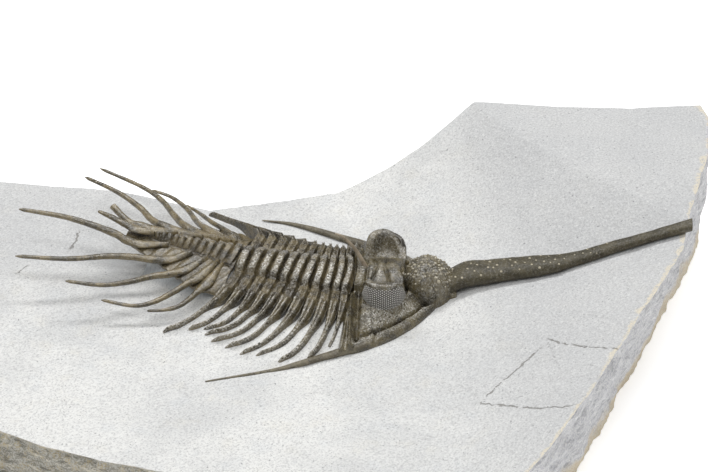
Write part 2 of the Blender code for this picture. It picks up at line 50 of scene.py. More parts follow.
MM = 0.001
SLAB_MIDDLE = (-4.04, -31.6, -12.0)
SLAB_FLOOR = -12.0
FAR_EDGE = ((-88, 24), (-66, 20.7), (-52, 18.2), (-42, 14), (-32, 10.8), (-20.5, 13), (-3, 17.7),
            (2, 19), (9, 21), (15, 23.5), (20.5, 26.5), (27, 30.8), (46, 28.2), (62, 27.7), (78, 29))
NEAR_EDGE = ((-79, -62), (-67, -67.5), (-59, -72), (-47, -76.5), (-34, -80), (-14, -85),
             (4, -90), (22, -94))
LEFT_EDGE = ((-79, -62), (-84, -48), (-88, -25), (-86, 2), (-88, 24))
RIGHT_EDGE = ((22, -94), (29, -88), (36, -80), (43, -69), (50.5, -55), (56.5, -44), (61, -37),
              (67.3, -24.5), (71, -11), (76, 5), (79.95, 18), (78, 29))
RAMP_HEIGHT = 16.0
RAMP_POWER = 1.1
RAMP_FOOT = ((-80, 18), (-22, 11), (17.7, -4), (24, -8), (31, -13))
RAMP_TOP = ((-80, 60), (-50, 76), (-19, 71), (0, 50), (20, 33), (31, 27))
SNOUT_ROCK = ((8, 0), (14, 0.6), (18, 1.5), (21, 2.6), (25, 3.9), (30, 4.7), (36, 5.1), (42, 5.8),
              (48, 7.5), (55, 9.8), (63, 12), (70, 13.7), (80, 15))
MOUND = 2.4
ROCK_CAP = 16.3
CAP_SHARPNESS = 20.0
SLAB_ROWS = 280
SLAB_COLUMNS = 220
WALL_ROWS = 22
RIM_SCALE = 110.0
FAR_OFF = 9.0
UNDERCUT = 0.5
UNDERCUT_RIGHT = ((-94, 0.5), (-55, 1.5), (-44, 3), (-37, 4.1), (-24.5, 4.8), (-11, 2.7), (5, 0.6))
CRACKS = (
    ((37.6, -45.3), (41.3, -48.4), (45.8, -51.1), (50.5, -53.7), (54.6, -57)),
    ((37.1, -47.6), (32.7, -52.3), (28.2, -56.6), (24.5, -61)),
    ((23.2, -61.2), (28.7, -63.8), (35, -67.3), (38.6, -68.5), (42.2, -69.2)),
    ((-60.1, 2.8), (-60.3, -1.6), (-61.8, -6.7)),
    ((-68.8, -10.9), (-70.4, -13.2), (-72.1, -15.9)),
)

HEAD_AT = (0.6, -22.9)
HEAD_YAW = np.radians(-2.5)
TAIL_YAW = np.radians(-17.0)
BEND_LENGTH = 14.0


def smooth(q):
    """0 below q = 0, 1 above q = 1, and level at both ends."""
    q = np.clip(q, 0.0, 1.0)
    return q * q * (3.0 - 2.0 * q)


def table(value, pairs):
    """Straight-line interpolation in a short list of (place, size) pairs."""
    return np.interp(value, *zip(*pairs))


def heading(s):
    """The midline's direction: the head's, turning smoothly to the tail's over the bend."""
    return HEAD_YAW + (TAIL_YAW - HEAD_YAW) * smooth(-s / BEND_LENGTH)


# The midline: the heading is summed up along the body, from the back of the head
STATIONS = np.linspace(-95.0, 95.0, 1901)
STEP = STATIONS[1] - STATIONS[0]
MIDLINE_X = np.cumsum(np.cos(heading(STATIONS))) * STEP
MIDLINE_Y = np.cumsum(np.sin(heading(STATIONS))) * STEP
MIDLINE_X += HEAD_AT[0] - np.interp(0.0, STATIONS, MIDLINE_X)
MIDLINE_Y += HEAD_AT[1] - np.interp(0.0, STATIONS, MIDLINE_Y)


def on_slab(s, t, h, bend=True):
    """Slab frame points of body frame points: along the bent midline and square to it, or for
    the stiff head, along its own straight heading."""
    s, t, h = np.broadcast_arrays(np.asarray(s, float), t, h)
    if not bend:
        x = HEAD_AT[0] + s * np.cos(HEAD_YAW) + t * np.sin(HEAD_YAW)
        y = HEAD_AT[1] + s * np.sin(HEAD_YAW) - t * np.cos(HEAD_YAW)
        return np.stack([x, y, h], -1)
    a = heading(s)
    x = np.interp(s, STATIONS, MIDLINE_X) + t * np.sin(a)
    y = np.interp(s, STATIONS, MIDLINE_Y) - t * np.cos(a)
    return np.stack([x, y, h], -1)


def on_body(x, y):
    """The body frame s and t of slab frame points, by stepping s until the foot is square."""
    s = np.asarray(x, float) - HEAD_AT[0]
    for _ in range(8):
        a = heading(s)
        along_x = x - np.interp(s, STATIONS, MIDLINE_X)
        along_y = y - np.interp(s, STATIONS, MIDLINE_Y)
        t = along_x * np.sin(a) - along_y * np.cos(a)
        s = s + along_x * np.cos(a) + along_y * np.sin(a)
    return s, t


def lumps(x, y, size, seed):
    """Smooth random relief from -1 to 1: random heights on a square lattice, blended smoothly."""
    lattice = np.random.default_rng(seed).uniform(-1.0, 1.0, (128, 128))
    x, y = x / size + 512.37, y / size + 512.71
    i, j = np.floor(x).astype(int), np.floor(y).astype(int)
    p, q = smooth(x - i), smooth(y - j)
    near = lattice[i % 128, j % 128] * (1 - p) + lattice[(i + 1) % 128, j % 128] * p
    far = lattice[i % 128, (j + 1) % 128] * (1 - p) + lattice[(i + 1) % 128, (j + 1) % 128] * p
    return near * (1 - q) + far * q


def ramp_height(x, y):
    """A power of the share of the way from the ramp's foot to its top, then almost level."""
    foot, top = table(y, RAMP_FOOT), table(y, RAMP_TOP)
    rise = np.clip((x - foot) / (top - foot), 0.0, None)
    level = 1.03 - 0.03 * np.exp(-8.0 * np.clip(rise - 1.0, 0.0, None))
    return RAMP_HEIGHT * np.minimum(rise ** RAMP_POWER, level)


def rock(x, y):
    """The ramp, fitted along the snout spine, plus the mound under the thorax and the tail."""
    ramp = ramp_height(x, y)
    beside = np.exp(-((y + 22.0) / 12.0) ** 2) * smooth((x - 6.0) / 4.0)
    ramp = ramp + beside * (table(x, SNOUT_ROCK) - ramp_height(x, -22.0))
    s, t = on_body(x, y)
    width = 19.0 - 6.0 * smooth((-s - 24.0) / 18.0)
    across = 1.0 - smooth((np.abs(t) - 0.35 * width) / (0.65 * width))
    along = smooth((-s - 1.0) / 14.0) * (1.0 - smooth((-s - 34.0) / 14.0))
    return ramp + MOUND * across * along


# The ribs and the tail shield, which the rock left between and under them follows
SEGMENTS = 11
RIGHT_REACH = (19.6, 23.4, 25.9, 25.0, 25.4, 24.0, 22.8, 21.0, 19.8, 20.7, 22.8)
RIGHT_SWEEP = (2.9, 3.5, 5.0, 6.5, 7.6, 9.0, 10.2, 9.9, 8.4, 8.9, 11.0)
RIGHT_STRAIGHT = (1.0, 0.6, 0.4, 0.0, 0.0, 0.0, 0.0, 0.0, 0.0, 0.4, 0.8)
LEFT_REACH = (15.4, 15.7, 15.9, 16.2, 16.4, 16.7, 16.7, 17, 17.6, 18.2, 18.6)
LEFT_SWEEP = (2.9, 3.7, 4.6, 5.4, 6.3, 7.4, 9.4, 12, 14, 15.2, 16.5)
LEFT_TIP = (0.9, 0.9, 0.9, 0.9, 0.9, 1.0, 1.2, 1.4, 1.8, 2.3, 3.0)
LEFT_STRAIGHT = (0.0, 0.0, 0.0, 0.0, 0.1, 0.2, 0.4, 0.6, 0.7, 0.8, 0.9)
SHOULDER = 9.0
AXIS_WIDTH = 6.3
TAIL_START = -24.85
TAIL_END = -50.0


def segment_pitch(number):
    """The segments are short behind the head and longer towards the tail."""
    return 1.75 + 0.085 * number


def segment_middle(number):
    """Where a segment's middle lies along the midline: behind the sum of those before it."""
    return -1.05 - sum(segment_pitch(k) for k in range(1, number))


def ring_fall(number):
    """How far the sides of a ring's arch lie behind its middle."""
    return 0.5 + 0.6 * np.exp((1 - number) / 1.2)


def pleura_height(t, reach, tip):
    """The side of a segment: level to the shoulder, then down to the tip's height."""
    return 6.1 - (6.1 - tip) * smooth((np.abs(t) - SHOULDER) / (reach - SHOULDER))


def backward_sweep(t, width, reach, tip_sweep, straight=1.0, fall=0.5):
    """How far a ring falls back from the midline to its sides, and on to its tip: a blend of a
    quarter of an oval, which curls round like a sickle, and a straighter power curve."""
    a = np.abs(t)
    outer = 0.97 * np.clip((a - SHOULDER) / (reach - SHOULDER), 0.0, 1.0)
    curl = (1 - np.sqrt(1 - outer ** 2)) / 0.757
    return (fall * np.clip(a / width, 0, 1) ** 2
            + (tip_sweep - fall) * ((1 - straight) * curl + straight * outer ** 1.6))


def tail_margin(s):
    """Half the tail shield's width, without its spines."""
    return table(s, ((-50, 2.2), (-48, 3.6), (-44, 5.4), (-40, 7.2), (-36, 9.4), (-32, 10.8),
                     (-28, 11.4), (-24, 10.4)))


def rib_bed(s, t):
    """The rock left between the outer ribs of the right side: a weighted mean of the heights of
    the ribs nearest to a point, less a gap that is deep near the shoulder, fading out past
    their tips."""
    total, weight = np.zeros(s.shape), np.full(s.shape, 1e-6)
    for number in range(1, SEGMENTS + 1):
        reach = RIGHT_REACH[number - 1]
        line = segment_middle(number) - backward_sweep(t, AXIS_WIDTH, reach, RIGHT_SWEEP[number - 1],
                                                       RIGHT_STRAIGHT[number - 1], ring_fall(number))
        share = (t - SHOULDER) / (reach - SHOULDER)
        bed = pleura_height(t, reach, 0.9) - 0.2 - 2.1 * (1 - smooth((share - 0.2) / 0.4))
        bed = bed * (1 - smooth((share - 0.94) / 0.16)) * smooth(share / 0.2)
        near = np.clip(1 - np.abs(s - line) / 2.6, 0, 1)
        total, weight = total + near * bed, weight + near
    return total / weight * smooth(weight / 0.7)


def tail_along(s):
    """The share of the way back along the tail shield."""
    return (TAIL_START - s) / (TAIL_START - TAIL_END)


def tail_axis_height(s):
    """Height of the tail shield's middle ridge, which rises a little backwards."""
    return 8.1 + 1.3 * tail_along(s)


def tail_top(row, t):
    """Height of the tail shield beside its axis: lower towards the margin, less so backwards."""
    share = np.clip(np.abs(t) / tail_margin(row), 0, 1)
    return tail_axis_height(row) - 1.45 - (3.1 - 2.4 * tail_along(row)) * share ** 2


def pedestal(s, t):
    """How much of the rock under the tail shield still stands: all of it to just inside the
    margin, where it falls off steeply."""
    under = 1.0 - smooth((np.abs(t) / tail_margin(s + 1.5) - 0.8) / 0.2)
    return under * smooth((-s - 23.0) / 3.0) * (1.0 - smooth((-s - 43.0) / 3.0))


def tail_hollow(s, t):
    """Two shaded hollows dug out of the rock between the tail's spines."""
    first = np.exp(-((s + 53.0) / 7.0) ** 2 - ((t + 0.5) / 4.0) ** 2)
    return np.clip(first + 0.45 * np.exp(-((s + 50.0) / 6.0) ** 2 - ((t - 10.0) / 3.0) ** 2), 0, 1)


def rock_top(x, y):
    """The rock as the tools left it: the pedestal under the tail shield, the bed of the ribs,
    hollows dug out beside the tail, low undulations and small scallops. The cap at the end is
    soft: a logarithm of a sum of powers, close to the lower of the height and the cap."""
    height = rock(x, y)
    s, t = on_body(x, y)
    height = np.maximum(height, rib_bed(s, t))
    under_tail = pedestal(s, t)
    height = height + (tail_top(s, t) - 0.95 - height) * under_tail
    height = height - 0.9 * tail_hollow(s, t)
    height = height + 0.28 * lumps(x, y, 13.0, 3) + 0.1 * lumps(x, y, 4.5, 4) * (1 - under_tail)
    height = height + 0.05 * lumps(x, y, 1.7, 5) - 0.12 * np.abs(lumps(x, 0.7 * y, 6.0, 6))
    return height - np.log1p(np.exp((height - ROCK_CAP) * CAP_SHARPNESS)) / CAP_SHARPNESS


def along_edge(edge, where):
    """Points at even shares of an edge's length."""
    p = np.asarray(edge, float)
    run = np.concatenate([[0.0], np.cumsum(np.hypot(*np.diff(p, axis=0).T))])
    run /= run[-1]
    return np.stack([np.interp(where, run, p[:, k]) for k in (0, 1)], -1)


def slab_plan(u, v):
    """A place in the slab's outline, blended from its four edges: the two blends across, less
    the blend of the corners. Small chips are taken off the right edge."""
    near, far = along_edge(NEAR_EDGE, u), along_edge(FAR_EDGE, u)
    left, right = along_edge(LEFT_EDGE, v), along_edge(RIGHT_EDGE, v)
    u, v = u[..., None], v[..., None]
    corners = ((1 - u) * (1 - v) * NEAR_EDGE[0] + u * (1 - v) * NEAR_EDGE[-1]
               + (1 - u) * v * FAR_EDGE[0] + u * v * FAR_EDGE[-1])
    place = (1 - v) * near + v * far + (1 - u) * left + u * right - corners
    y = place[..., 1]
    chip = 0.45 * np.clip(lumps(y, 0 * y, 4.0, 7), 0, None)
    chip = chip + 0.3 * np.clip(lumps(y, 0 * y, 1.6, 8), 0, None)
    chip = chip * smooth((u[..., 0] - 0.97) / 0.03) * smooth(8 * v[..., 0] * (1 - v[..., 0]))
    return place - chip[..., None] * (0.9, -0.3)


def grid_faces(rows, columns, closed=False):
    """Four-sided faces of a grid numbered row by row; a closed one joins its last column to its
    first."""
    i = np.arange(rows - 1)[:, None] * columns
    j = np.arange(columns if closed else columns - 1)[None, :]
    k = (j + 1) % columns
    return np.stack([i + j, i + k, i + columns + k, i + columns + j], -1).reshape(-1, 4)


def ladder(ring):
    """Four-sided faces that close a ring of points, rung by rung."""
    back = ring[::-1]
    half = len(ring) // 2
    return np.stack([ring[:half - 1], ring[1:half], back[1:half], back[:half - 1]], -1)


def to_part(points):
    """Slab frame millimetres to metres from the middle of the underside."""
    return (np.asarray(points, float) - SLAB_MIDDLE) * MM


def add_piece(name, shapes, materials, tones=None, sharp=35.0):
    """One mesh from several closed shapes. A shape is (points, faces) or (points, faces,
    material number), and tones holds a value for each point under each attribute's name."""
    points, faces, numbers, start = [], [], [], 0
    for shape in shapes:
        points.append(shape[0].reshape(-1, 3))
        rows = [(row + start).tolist() for row in shape[1]]
        faces += [face for row in rows for face in (row if isinstance(row[0], list) else [row])]
        numbers += [shape[2] if len(shape) > 2 else 0] * (len(faces) - len(numbers))
        start += len(points[-1])
    mesh = bpy.data.meshes.new(name)
    mesh.from_pydata(to_part(np.concatenate(points)).tolist(), [], faces)
    mesh.polygons.foreach_set("material_index", numbers)
    for tone, values in (tones or {}).items():
        attribute = mesh.attributes.new(tone, "FLOAT", "POINT")
        attribute.data.foreach_set("value", np.asarray(values, np.float32).ravel())
    bm = bmesh.new()
    bm.from_mesh(mesh)
    bmesh.ops.recalc_face_normals(bm, faces=bm.faces)
    bm.to_mesh(mesh)
    bm.free()
    mesh.shade_smooth()
    mesh.set_sharp_from_angle(angle=np.radians(sharp))
    for material in materials:
        mesh.materials.append(material)
    piece = bpy.data.objects.new(name, mesh)
    bpy.context.scene.collection.objects.link(piece)
    return piece


def crack_fields(x, y):
    """For the nearest crack: the signed distance across it, and how much of it is there, which
    fades to 0 towards its ends."""
    across = np.full(x.shape, FAR_OFF)
    share = np.zeros(x.shape)
    for crack in CRACKS:
        line = np.asarray(crack, float)
        step = line[1:] - line[:-1]
        length = np.hypot(*step.T)
        done = np.concatenate([[0.0], np.cumsum(length)])
        best = np.full(x.shape, FAR_OFF)
        place = np.zeros(x.shape)
        for k in range(len(step)):
            px, py = x - line[k, 0], y - line[k, 1]
            along = np.clip((px * step[k, 0] + py * step[k, 1]) / length[k] ** 2, 0.0, 1.0)
            side = np.sign(px * step[k, 1] - py * step[k, 0])
            away = np.hypot(px - along * step[k, 0], py - along * step[k, 1])
            nearer = away < np.abs(best)
            best = np.where(nearer, away * side, best)
            place = np.where(nearer, done[k] + along * length[k], place)
        nearer = np.abs(best) < np.abs(across)
        across = np.where(nearer, best, across)
        ends = smooth(place / 1.5) * smooth((done[-1] - place) / 1.5)
        share = np.where(nearer, ends, share)
    return across, share


def build_slab(materials):
    """The top is a grid over the outline. The walls are rings that follow its rim down, pushed
    in by broken relief and an undercut, and the last ring closes the flat underside."""
    u, v = np.meshgrid(np.linspace(0, 1, SLAB_ROWS), np.linspace(0, 1, SLAB_COLUMNS), indexing="ij")
    plan = slab_plan(u, v)
    top = np.dstack([plan, rock_top(plan[..., 0], plan[..., 1])])
    number = np.arange(SLAB_ROWS * SLAB_COLUMNS).reshape(SLAB_ROWS, SLAB_COLUMNS)
    rim = np.concatenate([number[:-1, 0], number[-1, :-1], number[:0:-1, -1], number[0, :0:-1]])
    edge = top.reshape(-1, 3)[rim]
    run = np.cumsum(np.hypot(*(edge - np.roll(edge, 1, 0))[:, :2].T))
    ahead = np.roll(edge, -3, 0) - np.roll(edge, 3, 0)
    inward = np.stack([-ahead[:, 1], ahead[:, 0]], -1) / np.hypot(ahead[:, 0], ahead[:, 1])[:, None]
    right = smooth((edge[:, 0] - 24.0) / 6.0) * smooth((28.0 - edge[:, 1]) / 6.0)
    foot = UNDERCUT + (table(edge[:, 1], UNDERCUT_RIGHT) - UNDERCUT) * right
    depth = np.linspace(0, 1, WALL_ROWS + 1)[1:, None] ** 1.15
    z = edge[:, 2] + (SLAB_FLOOR - edge[:, 2]) * depth
    below = edge[:, 2] - z
    rough = 0.9 * lumps(run, 1.6 * z, 7.0, 11) + 0.5 * lumps(run, 1.3 * z, 2.8, 12)
    rough = rough * (1 - 0.45 * right)
    rough = rough + 0.25 * lumps(run, z, 1.1, 13) + 0.5 * lumps(0.2 * run, z, 2.2, 14) * (1 - 0.5 * right)
    shelf = 0.4 * smooth((below - 6.5 - 2.0 * lumps(run, 0 * z, 9.0, 15)) / 1.0) * right
    push = np.clip(0.75 + rough, 0.0, None) * smooth(below / 1.2) + foot * depth ** 0.8 - 0.5 * shelf
    push = np.maximum(push, 0.0)
    wall = np.empty((WALL_ROWS, len(rim), 3))
    wall[..., :2] = edge[:, :2] + inward * push[..., None]
    wall[..., 2] = z
    count = len(rim)
    rings = np.concatenate([rim[None], top.size // 3 + np.arange(WALL_ROWS * count).reshape(-1, count)])
    after = np.roll(rings, -1, 1)
    sides = np.stack([rings[:-1], rings[1:], after[1:], after[:-1]], -1).reshape(-1, 4)
    points = np.concatenate([top.reshape(-1, 3), wall.reshape(-1, 3)])
    across, share = crack_fields(points[:, 0], points[:, 1])
    on_wall = np.concatenate([np.zeros(top.size // 3), np.full(wall.size // 3, 1.0)])
    to_rim = np.concatenate([RIM_SCALE * (1 - u.ravel()), np.full(wall.size // 3, FAR_OFF)])
    s, t = on_body(points[:, 0], points[:, 1])
    stand = pedestal(s, t)
    # The hollow and flank tones carry painted shade into the rock's colour
    tones = {"crack_across": across, "crack_share": share * (1 - on_wall), "wall": on_wall,
             "right_rim": to_rim, "flank": 4 * stand * (1 - stand) * (1 - on_wall),
             "hollow": tail_hollow(s, t) * (1 - on_wall)}
    shapes = [(points, [grid_faces(SLAB_ROWS, SLAB_COLUMNS), sides, rings[-1]])]
    return add_piece("limestone_slab", shapes, materials, tones)


class Shader:
    """A material's node tree, built one node at a time."""

    def __init__(self, name):
        self.material = bpy.data.materials.new(name)
        self.material.use_nodes = True
        self.tree = self.material.node_tree
        self.surface = self.tree.nodes["Principled BSDF"]

    def node(self, kind, inputs=(), **settings):
        """Adds a node; an input is a value or another node's output."""
        node = self.tree.nodes.new(kind)
        for setting, value in settings.items():
            setattr(node, setting, value)
        for socket, value in dict(inputs).items():
            self.join(node.inputs[socket], value)
        return node

    def join(self, socket, value):
        """Feeds an input from another node's output, or sets it to a value."""
        if isinstance(value, bpy.types.NodeSocket):
            self.tree.links.new(value, socket)
        else:
            socket.default_value = value

    def place(self, scale=(1, 1, 1), turn=(0, 0, 0)):
        """Object coordinates in millimetres, turned and stretched."""
        where = self.node("ShaderNodeTexCoord").outputs["Object"]
        scale = tuple(k / MM for k in scale)
        turned = self.node("ShaderNodeMapping", {"Vector": where, "Rotation": turn, "Scale": (1, 1, 1)})
        return self.node("ShaderNodeMapping", {"Vector": turned.outputs[0], "Scale": scale}).outputs[0]

    def noise(self, where, scale, detail=2.0, roughness=0.5):
        """Cloudy noise from 0 to 1, with its scale in lumps per millimetre."""
        inputs = {"Vector": where, "Scale": scale, "Detail": detail, "Roughness": roughness}
        return self.node("ShaderNodeTexNoise", inputs).outputs["Fac"]

    def tone(self, name):
        """A value that the mesh holds at its points."""
        return self.node("ShaderNodeAttribute", attribute_name=name).outputs["Fac"]

    def math(self, operation, a, b=0.0, c=0.0):
        """One step of arithmetic on values or outputs."""
        node = self.node("ShaderNodeMath", operation=operation)
        for socket, value in zip(node.inputs, (a, b, c)):
            self.join(socket, value)
        return node.outputs[0]

    def between(self, value, low, high):
        """0 at low, 1 at high, smooth between and level beyond; low may be above high."""
        node = self.node("ShaderNodeMapRange", {"Value": value, "From Min": low, "From Max": high},
                         interpolation_type="SMOOTHSTEP")
        return node.outputs[0]

    def mix(self, share, a, b):
        """Colour a at share 0, colour b at share 1."""
        node = self.node("ShaderNodeMix", data_type="RGBA")
        self.join(node.inputs[0], share)
        self.join(node.inputs[6], a if isinstance(a, bpy.types.NodeSocket) else (*a, 1.0))
        self.join(node.inputs[7], b if isinstance(b, bpy.types.NodeSocket) else (*b, 1.0))
        return node.outputs[2]

    def tint(self, colour, share, amount, tint):
        """A colour with an amount of a tint laid over it where the share is 1."""
        return self.mix(self.math("MULTIPLY", share, amount), colour, tint)

    def bump(self, height, distance, strength=1.0, under=None):
        """Relief of a height from 0 to 1, distance millimetres deep."""
        node = self.node("ShaderNodeBump", {"Height": height, "Distance": distance * MM,
                                            "Strength": strength})
        if under is not None:
            self.tree.links.new(under, node.inputs["Normal"])
        return node.outputs[0]


ROCK_PALE = (0.80, 0.80, 0.78)
ROCK_GREY = (0.66, 0.665, 0.66)
# Painted shade: the grey laid up the ramp and far to the left
RAMP_SHADE = (0.53, 0.535, 0.54)
ROCK_BLUE = (0.60, 0.635, 0.67)
ROCK_CREAM = (0.76, 0.72, 0.61)
ROCK_SPECK = (0.20, 0.20, 0.21)
GRAIN_DARK = (0.40, 0.40, 0.40)
GRAIN_LIGHT = (0.86, 0.86, 0.84)
TOOL_MARK = (0.38, 0.38, 0.39)
# Painted shade for the hollows between the tail's spines
HOLLOW_SHADE = (0.22, 0.225, 0.235)
# Painted shade for the pedestal's flank under the tail shield, darker and bluer
FLANK_SHADE = (0.30, 0.33, 0.36)
CRACK_DARK = (0.20, 0.19, 0.17)
RIM_CRUST = (0.74, 0.66, 0.50)
BREAK_VIOLET = (0.50, 0.50, 0.54)
BREAK_DARK = (0.30, 0.30, 0.32)
BREAK_LIGHT = (0.86, 0.86, 0.86)
CRUST_TAN = (0.66, 0.54, 0.38)
CRUST_DARK = (0.26, 0.25, 0.21)
CRUST_OCHRE = (0.42, 0.36, 0.24)
CRUST_GREY = (0.44, 0.43, 0.39)
CRUST_BLACK = (0.12, 0.115, 0.095)
CRUST_CREAM = (0.72, 0.68, 0.58)


def make_limestone():
    """Pale and grey rock with faint cream and blue patches, a dark and light grain, slanting tool marks,
    dark specks and hairline cracks. Painted shade makes it greyer up the ramp and far to the left, darker
    in the hollows beside the tail, and darker and bluer on the flank of the pedestal under the tail
    shield. A cream crust follows the right rim, and the breaks at the sides have their own colours."""
    shader = Shader("limestone")
    still = shader.place()
    slanted = shader.place((0.45, 1.6, 1.0), (0, 0, np.radians(-38)))
    patches = shader.noise(still, 0.05, 3)
    blotches = shader.noise(still, 0.16, 4, 0.6)
    marks = shader.noise(slanted, 1.9, 3, 0.6)
    grain = shader.noise(still, 3.2, 2, 0.6)
    speckle = shader.noise(still, 2.3, 4, 0.8)
    colour = shader.mix(shader.between(patches, 0.36, 0.68), ROCK_PALE, ROCK_GREY)
    colour = shader.tint(colour, shader.between(blotches, 0.52, 0.7), 0.22, ROCK_BLUE)
    colour = shader.tint(colour, shader.between(blotches, 0.46, 0.3), 0.2, ROCK_CREAM)
    parts = shader.node("ShaderNodeSeparateXYZ", {"Vector": still}).outputs
    # Painted shade: greyer up the ramp, the further right and higher the rock stands
    raised = shader.between(shader.math("ADD", parts["X"], parts["Z"]), 30.0, 62.0)
    colour = shader.tint(colour, raised, 0.75, RAMP_SHADE)
    # Painted shade: greyer again far back on the left
    behind = shader.between(shader.math("MULTIPLY_ADD", parts["X"], -0.6, parts["Y"]), 25.0, 75.0)
    behind = shader.math("MULTIPLY", behind, shader.between(parts["X"], 20.0, -20.0))
    colour = shader.tint(colour, behind, 0.6, RAMP_SHADE)
    colour = shader.tint(colour, shader.between(speckle, 0.52, 0.36), 0.62, GRAIN_DARK)
    colour = shader.tint(colour, shader.between(speckle, 0.52, 0.66), 0.5, GRAIN_LIGHT)
    colour = shader.tint(colour, shader.between(marks, 0.50, 0.34), 0.25, TOOL_MARK)
    specks = shader.between(shader.noise(still, 2.1, 1, 0.4), 0.69, 0.78)
    colour = shader.tint(colour, specks, 0.75, ROCK_SPECK)
    # Painted shade in the hollows between the tail's spines, over their real dip
    colour = shader.tint(colour, shader.tone("hollow"), 0.6, HOLLOW_SHADE)
    # Painted shade on the pedestal's flank under the tail shield's margin, darker and bluer
    colour = shader.tint(colour, shader.tone("flank"), 0.7, FLANK_SHADE)
    rim = shader.math("MULTIPLY_ADD", shader.noise(still, 0.28, 3, 0.65), -4.2, shader.tone("right_rim"))
    crust = shader.math("MULTIPLY", shader.between(rim, -1.3, -1.9), shader.between(speckle, 0.40, 0.50))
    colour = shader.tint(colour, crust, 0.7, RIM_CRUST)
    wander = shader.math("MULTIPLY_ADD", shader.noise(still, 0.9, 2), 1.3, -0.65)
    beside = shader.math("ABSOLUTE", shader.math("ADD", shader.tone("crack_across"), wander))
    width = shader.math("MULTIPLY_ADD", shader.noise(still, 0.5, 1), 0.5, -0.09)
    crack = shader.between(shader.math("SUBTRACT", beside, width), 0.05, -0.05)
    crack = shader.math("MULTIPLY", crack, shader.between(shader.noise(still, 0.7, 2), 0.36, 0.46))
    crack = shader.math("MULTIPLY", crack, shader.tone("crack_share"))
    colour = shader.tint(colour, crack, 0.7, CRACK_DARK)
    colour = shader.mix(shader.tone("wall"), colour, wall_colour(shader, still, blotches, grain))
    surface = shader.surface.inputs
    shader.join(surface["Base Color"], colour)
    surface["Roughness"].default_value = 0.88
    surface["Specular IOR Level"].default_value = 0.25
    relief = shader.bump(marks, 0.12, 0.9)
    relief = shader.bump(speckle, 0.14, 0.8, relief)
    relief = shader.bump(grain, 0.10, 0.9, relief)
    relief = shader.bump(crack, -0.25, 0.8, relief)
    shader.join(surface["Normal"], relief)
    return shader.material


def wall_colour(shader, still, blotches, grain):
    """The breaks: violet grey on the right, with dark and light streaks and a tan crust at its
    foot, and a dark weathered crust on the left and in front, with ochre, grey, black and cream
    patches. The two meet where a wandering distance to the right changes."""
    parts = shader.node("ShaderNodeSeparateXYZ", {"Vector": still}).outputs
    low = shader.math("ADD", parts["Z"], shader.math("MULTIPLY_ADD", blotches, 10.0, -5.0))
    fresh = shader.mix(shader.between(grain, 0.3, 0.7), BREAK_VIOLET, ROCK_PALE)
    streaks = shader.noise(shader.place((0.3, 0.3, 1.0)), 1.1, 4, 0.7)
    fresh = shader.tint(fresh, shader.between(streaks, 0.5, 0.34), 0.6, BREAK_DARK)
    fresh = shader.tint(fresh, shader.between(streaks, 0.54, 0.66), 0.7, BREAK_LIGHT)
    crust = shader.mix(shader.between(grain, 0.35, 0.65), CRUST_TAN, ROCK_CREAM)
    fresh = shader.mix(shader.between(low, 5.5, 1.5), fresh, crust)
    mottle = shader.noise(still, 0.42, 5, 0.75)
    old = shader.mix(shader.between(mottle, 0.48, 0.58), CRUST_DARK, CRUST_OCHRE)
    old = shader.mix(shader.between(grain, 0.46, 0.56), old, CRUST_GREY)
    old = shader.tint(old, shader.between(streaks, 0.46, 0.38), 0.7, CRUST_BLACK)
    old = shader.tint(old, shader.between(streaks, 0.56, 0.66), 0.6, CRUST_CREAM)
    side = shader.math("ADD", parts["X"], shader.math("MULTIPLY_ADD", blotches, 16.0, -8.0))
    return shader.mix(shader.between(side, 10.0, 24.0), old, fresh)


slab = build_slab([make_limestone()])
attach(slab, "root")
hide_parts("matrix_slab")

# The head shield
# One plate of glossy, dark olive calcite: a rolled border, steep cheeks, the glabella with its
# swollen front lobe, and a mount for each eye. The flat snout spine, the two cheek spines and the
# thin neck spine grew with it.

HEAD_LENGTH = 20.6
HEAD_ROWS = 190
HEAD_COLUMNS = 330
LOBE_CENTRE = (15.0, 4.35)
LOBE_RADIUS = 5.3
GLABELLA_WIDTH = 5.2
TRUNK_END = 9.6
CREST = 7.9
FURROW = 5.4
EYE_AT = (5.8, 7.0)
EYE_SIZE = (4.2, 4.3)
EYE_LOW = 4.9
EYE_HIGH = 9.3
SNOUT_SPINE_TIP = 68.7
SNOUT_SPINE_ROOT = 19.0
SNOUT_SPINE_DRIFT = 7.2
SNOUT_HALF_WIDTH = ((13, 3.2), (22, 3.4), (37, 2.8), (45, 1.7), (52, 1.45), (60, 1.2), (69, 1.25))
SNOUT_HALF_HEIGHT = ((13, 1.8), (22, 1.9), (37, 1.6), (45, 1.2), (52, 1.1), (60, 0.95), (69, 0.95))
# Painted sheen on the eye mounts, in place of highlights on their rims
MOUNT_SHEEN = 0.35
DOME_SIDES = 8
DOME_POINTS = 2 * DOME_SIDES + 1
SUNK = 0.4
HEAD_FALL = ((0, 0), (3, 0.25), (6.3, 0.9), (9, 1.45), (11, 1.9), (14.4, 2.4), (17.8, 2.9),
             (20, 3.1))


def head_edge(s):
    """Half the head shield's width: a curve that narrows to the snout, and never less than the
    front lobe or the root of the snout spine."""
    lobe = LOBE_RADIUS * np.sqrt(np.clip(1 - ((s - LOBE_CENTRE[0]) / LOBE_RADIUS) ** 2, 0, 1))
    return np.maximum.reduce([20.2 - 0.42 * s - 0.029 * s ** 2, lobe + 0.3, 3.4 + 0 * s])


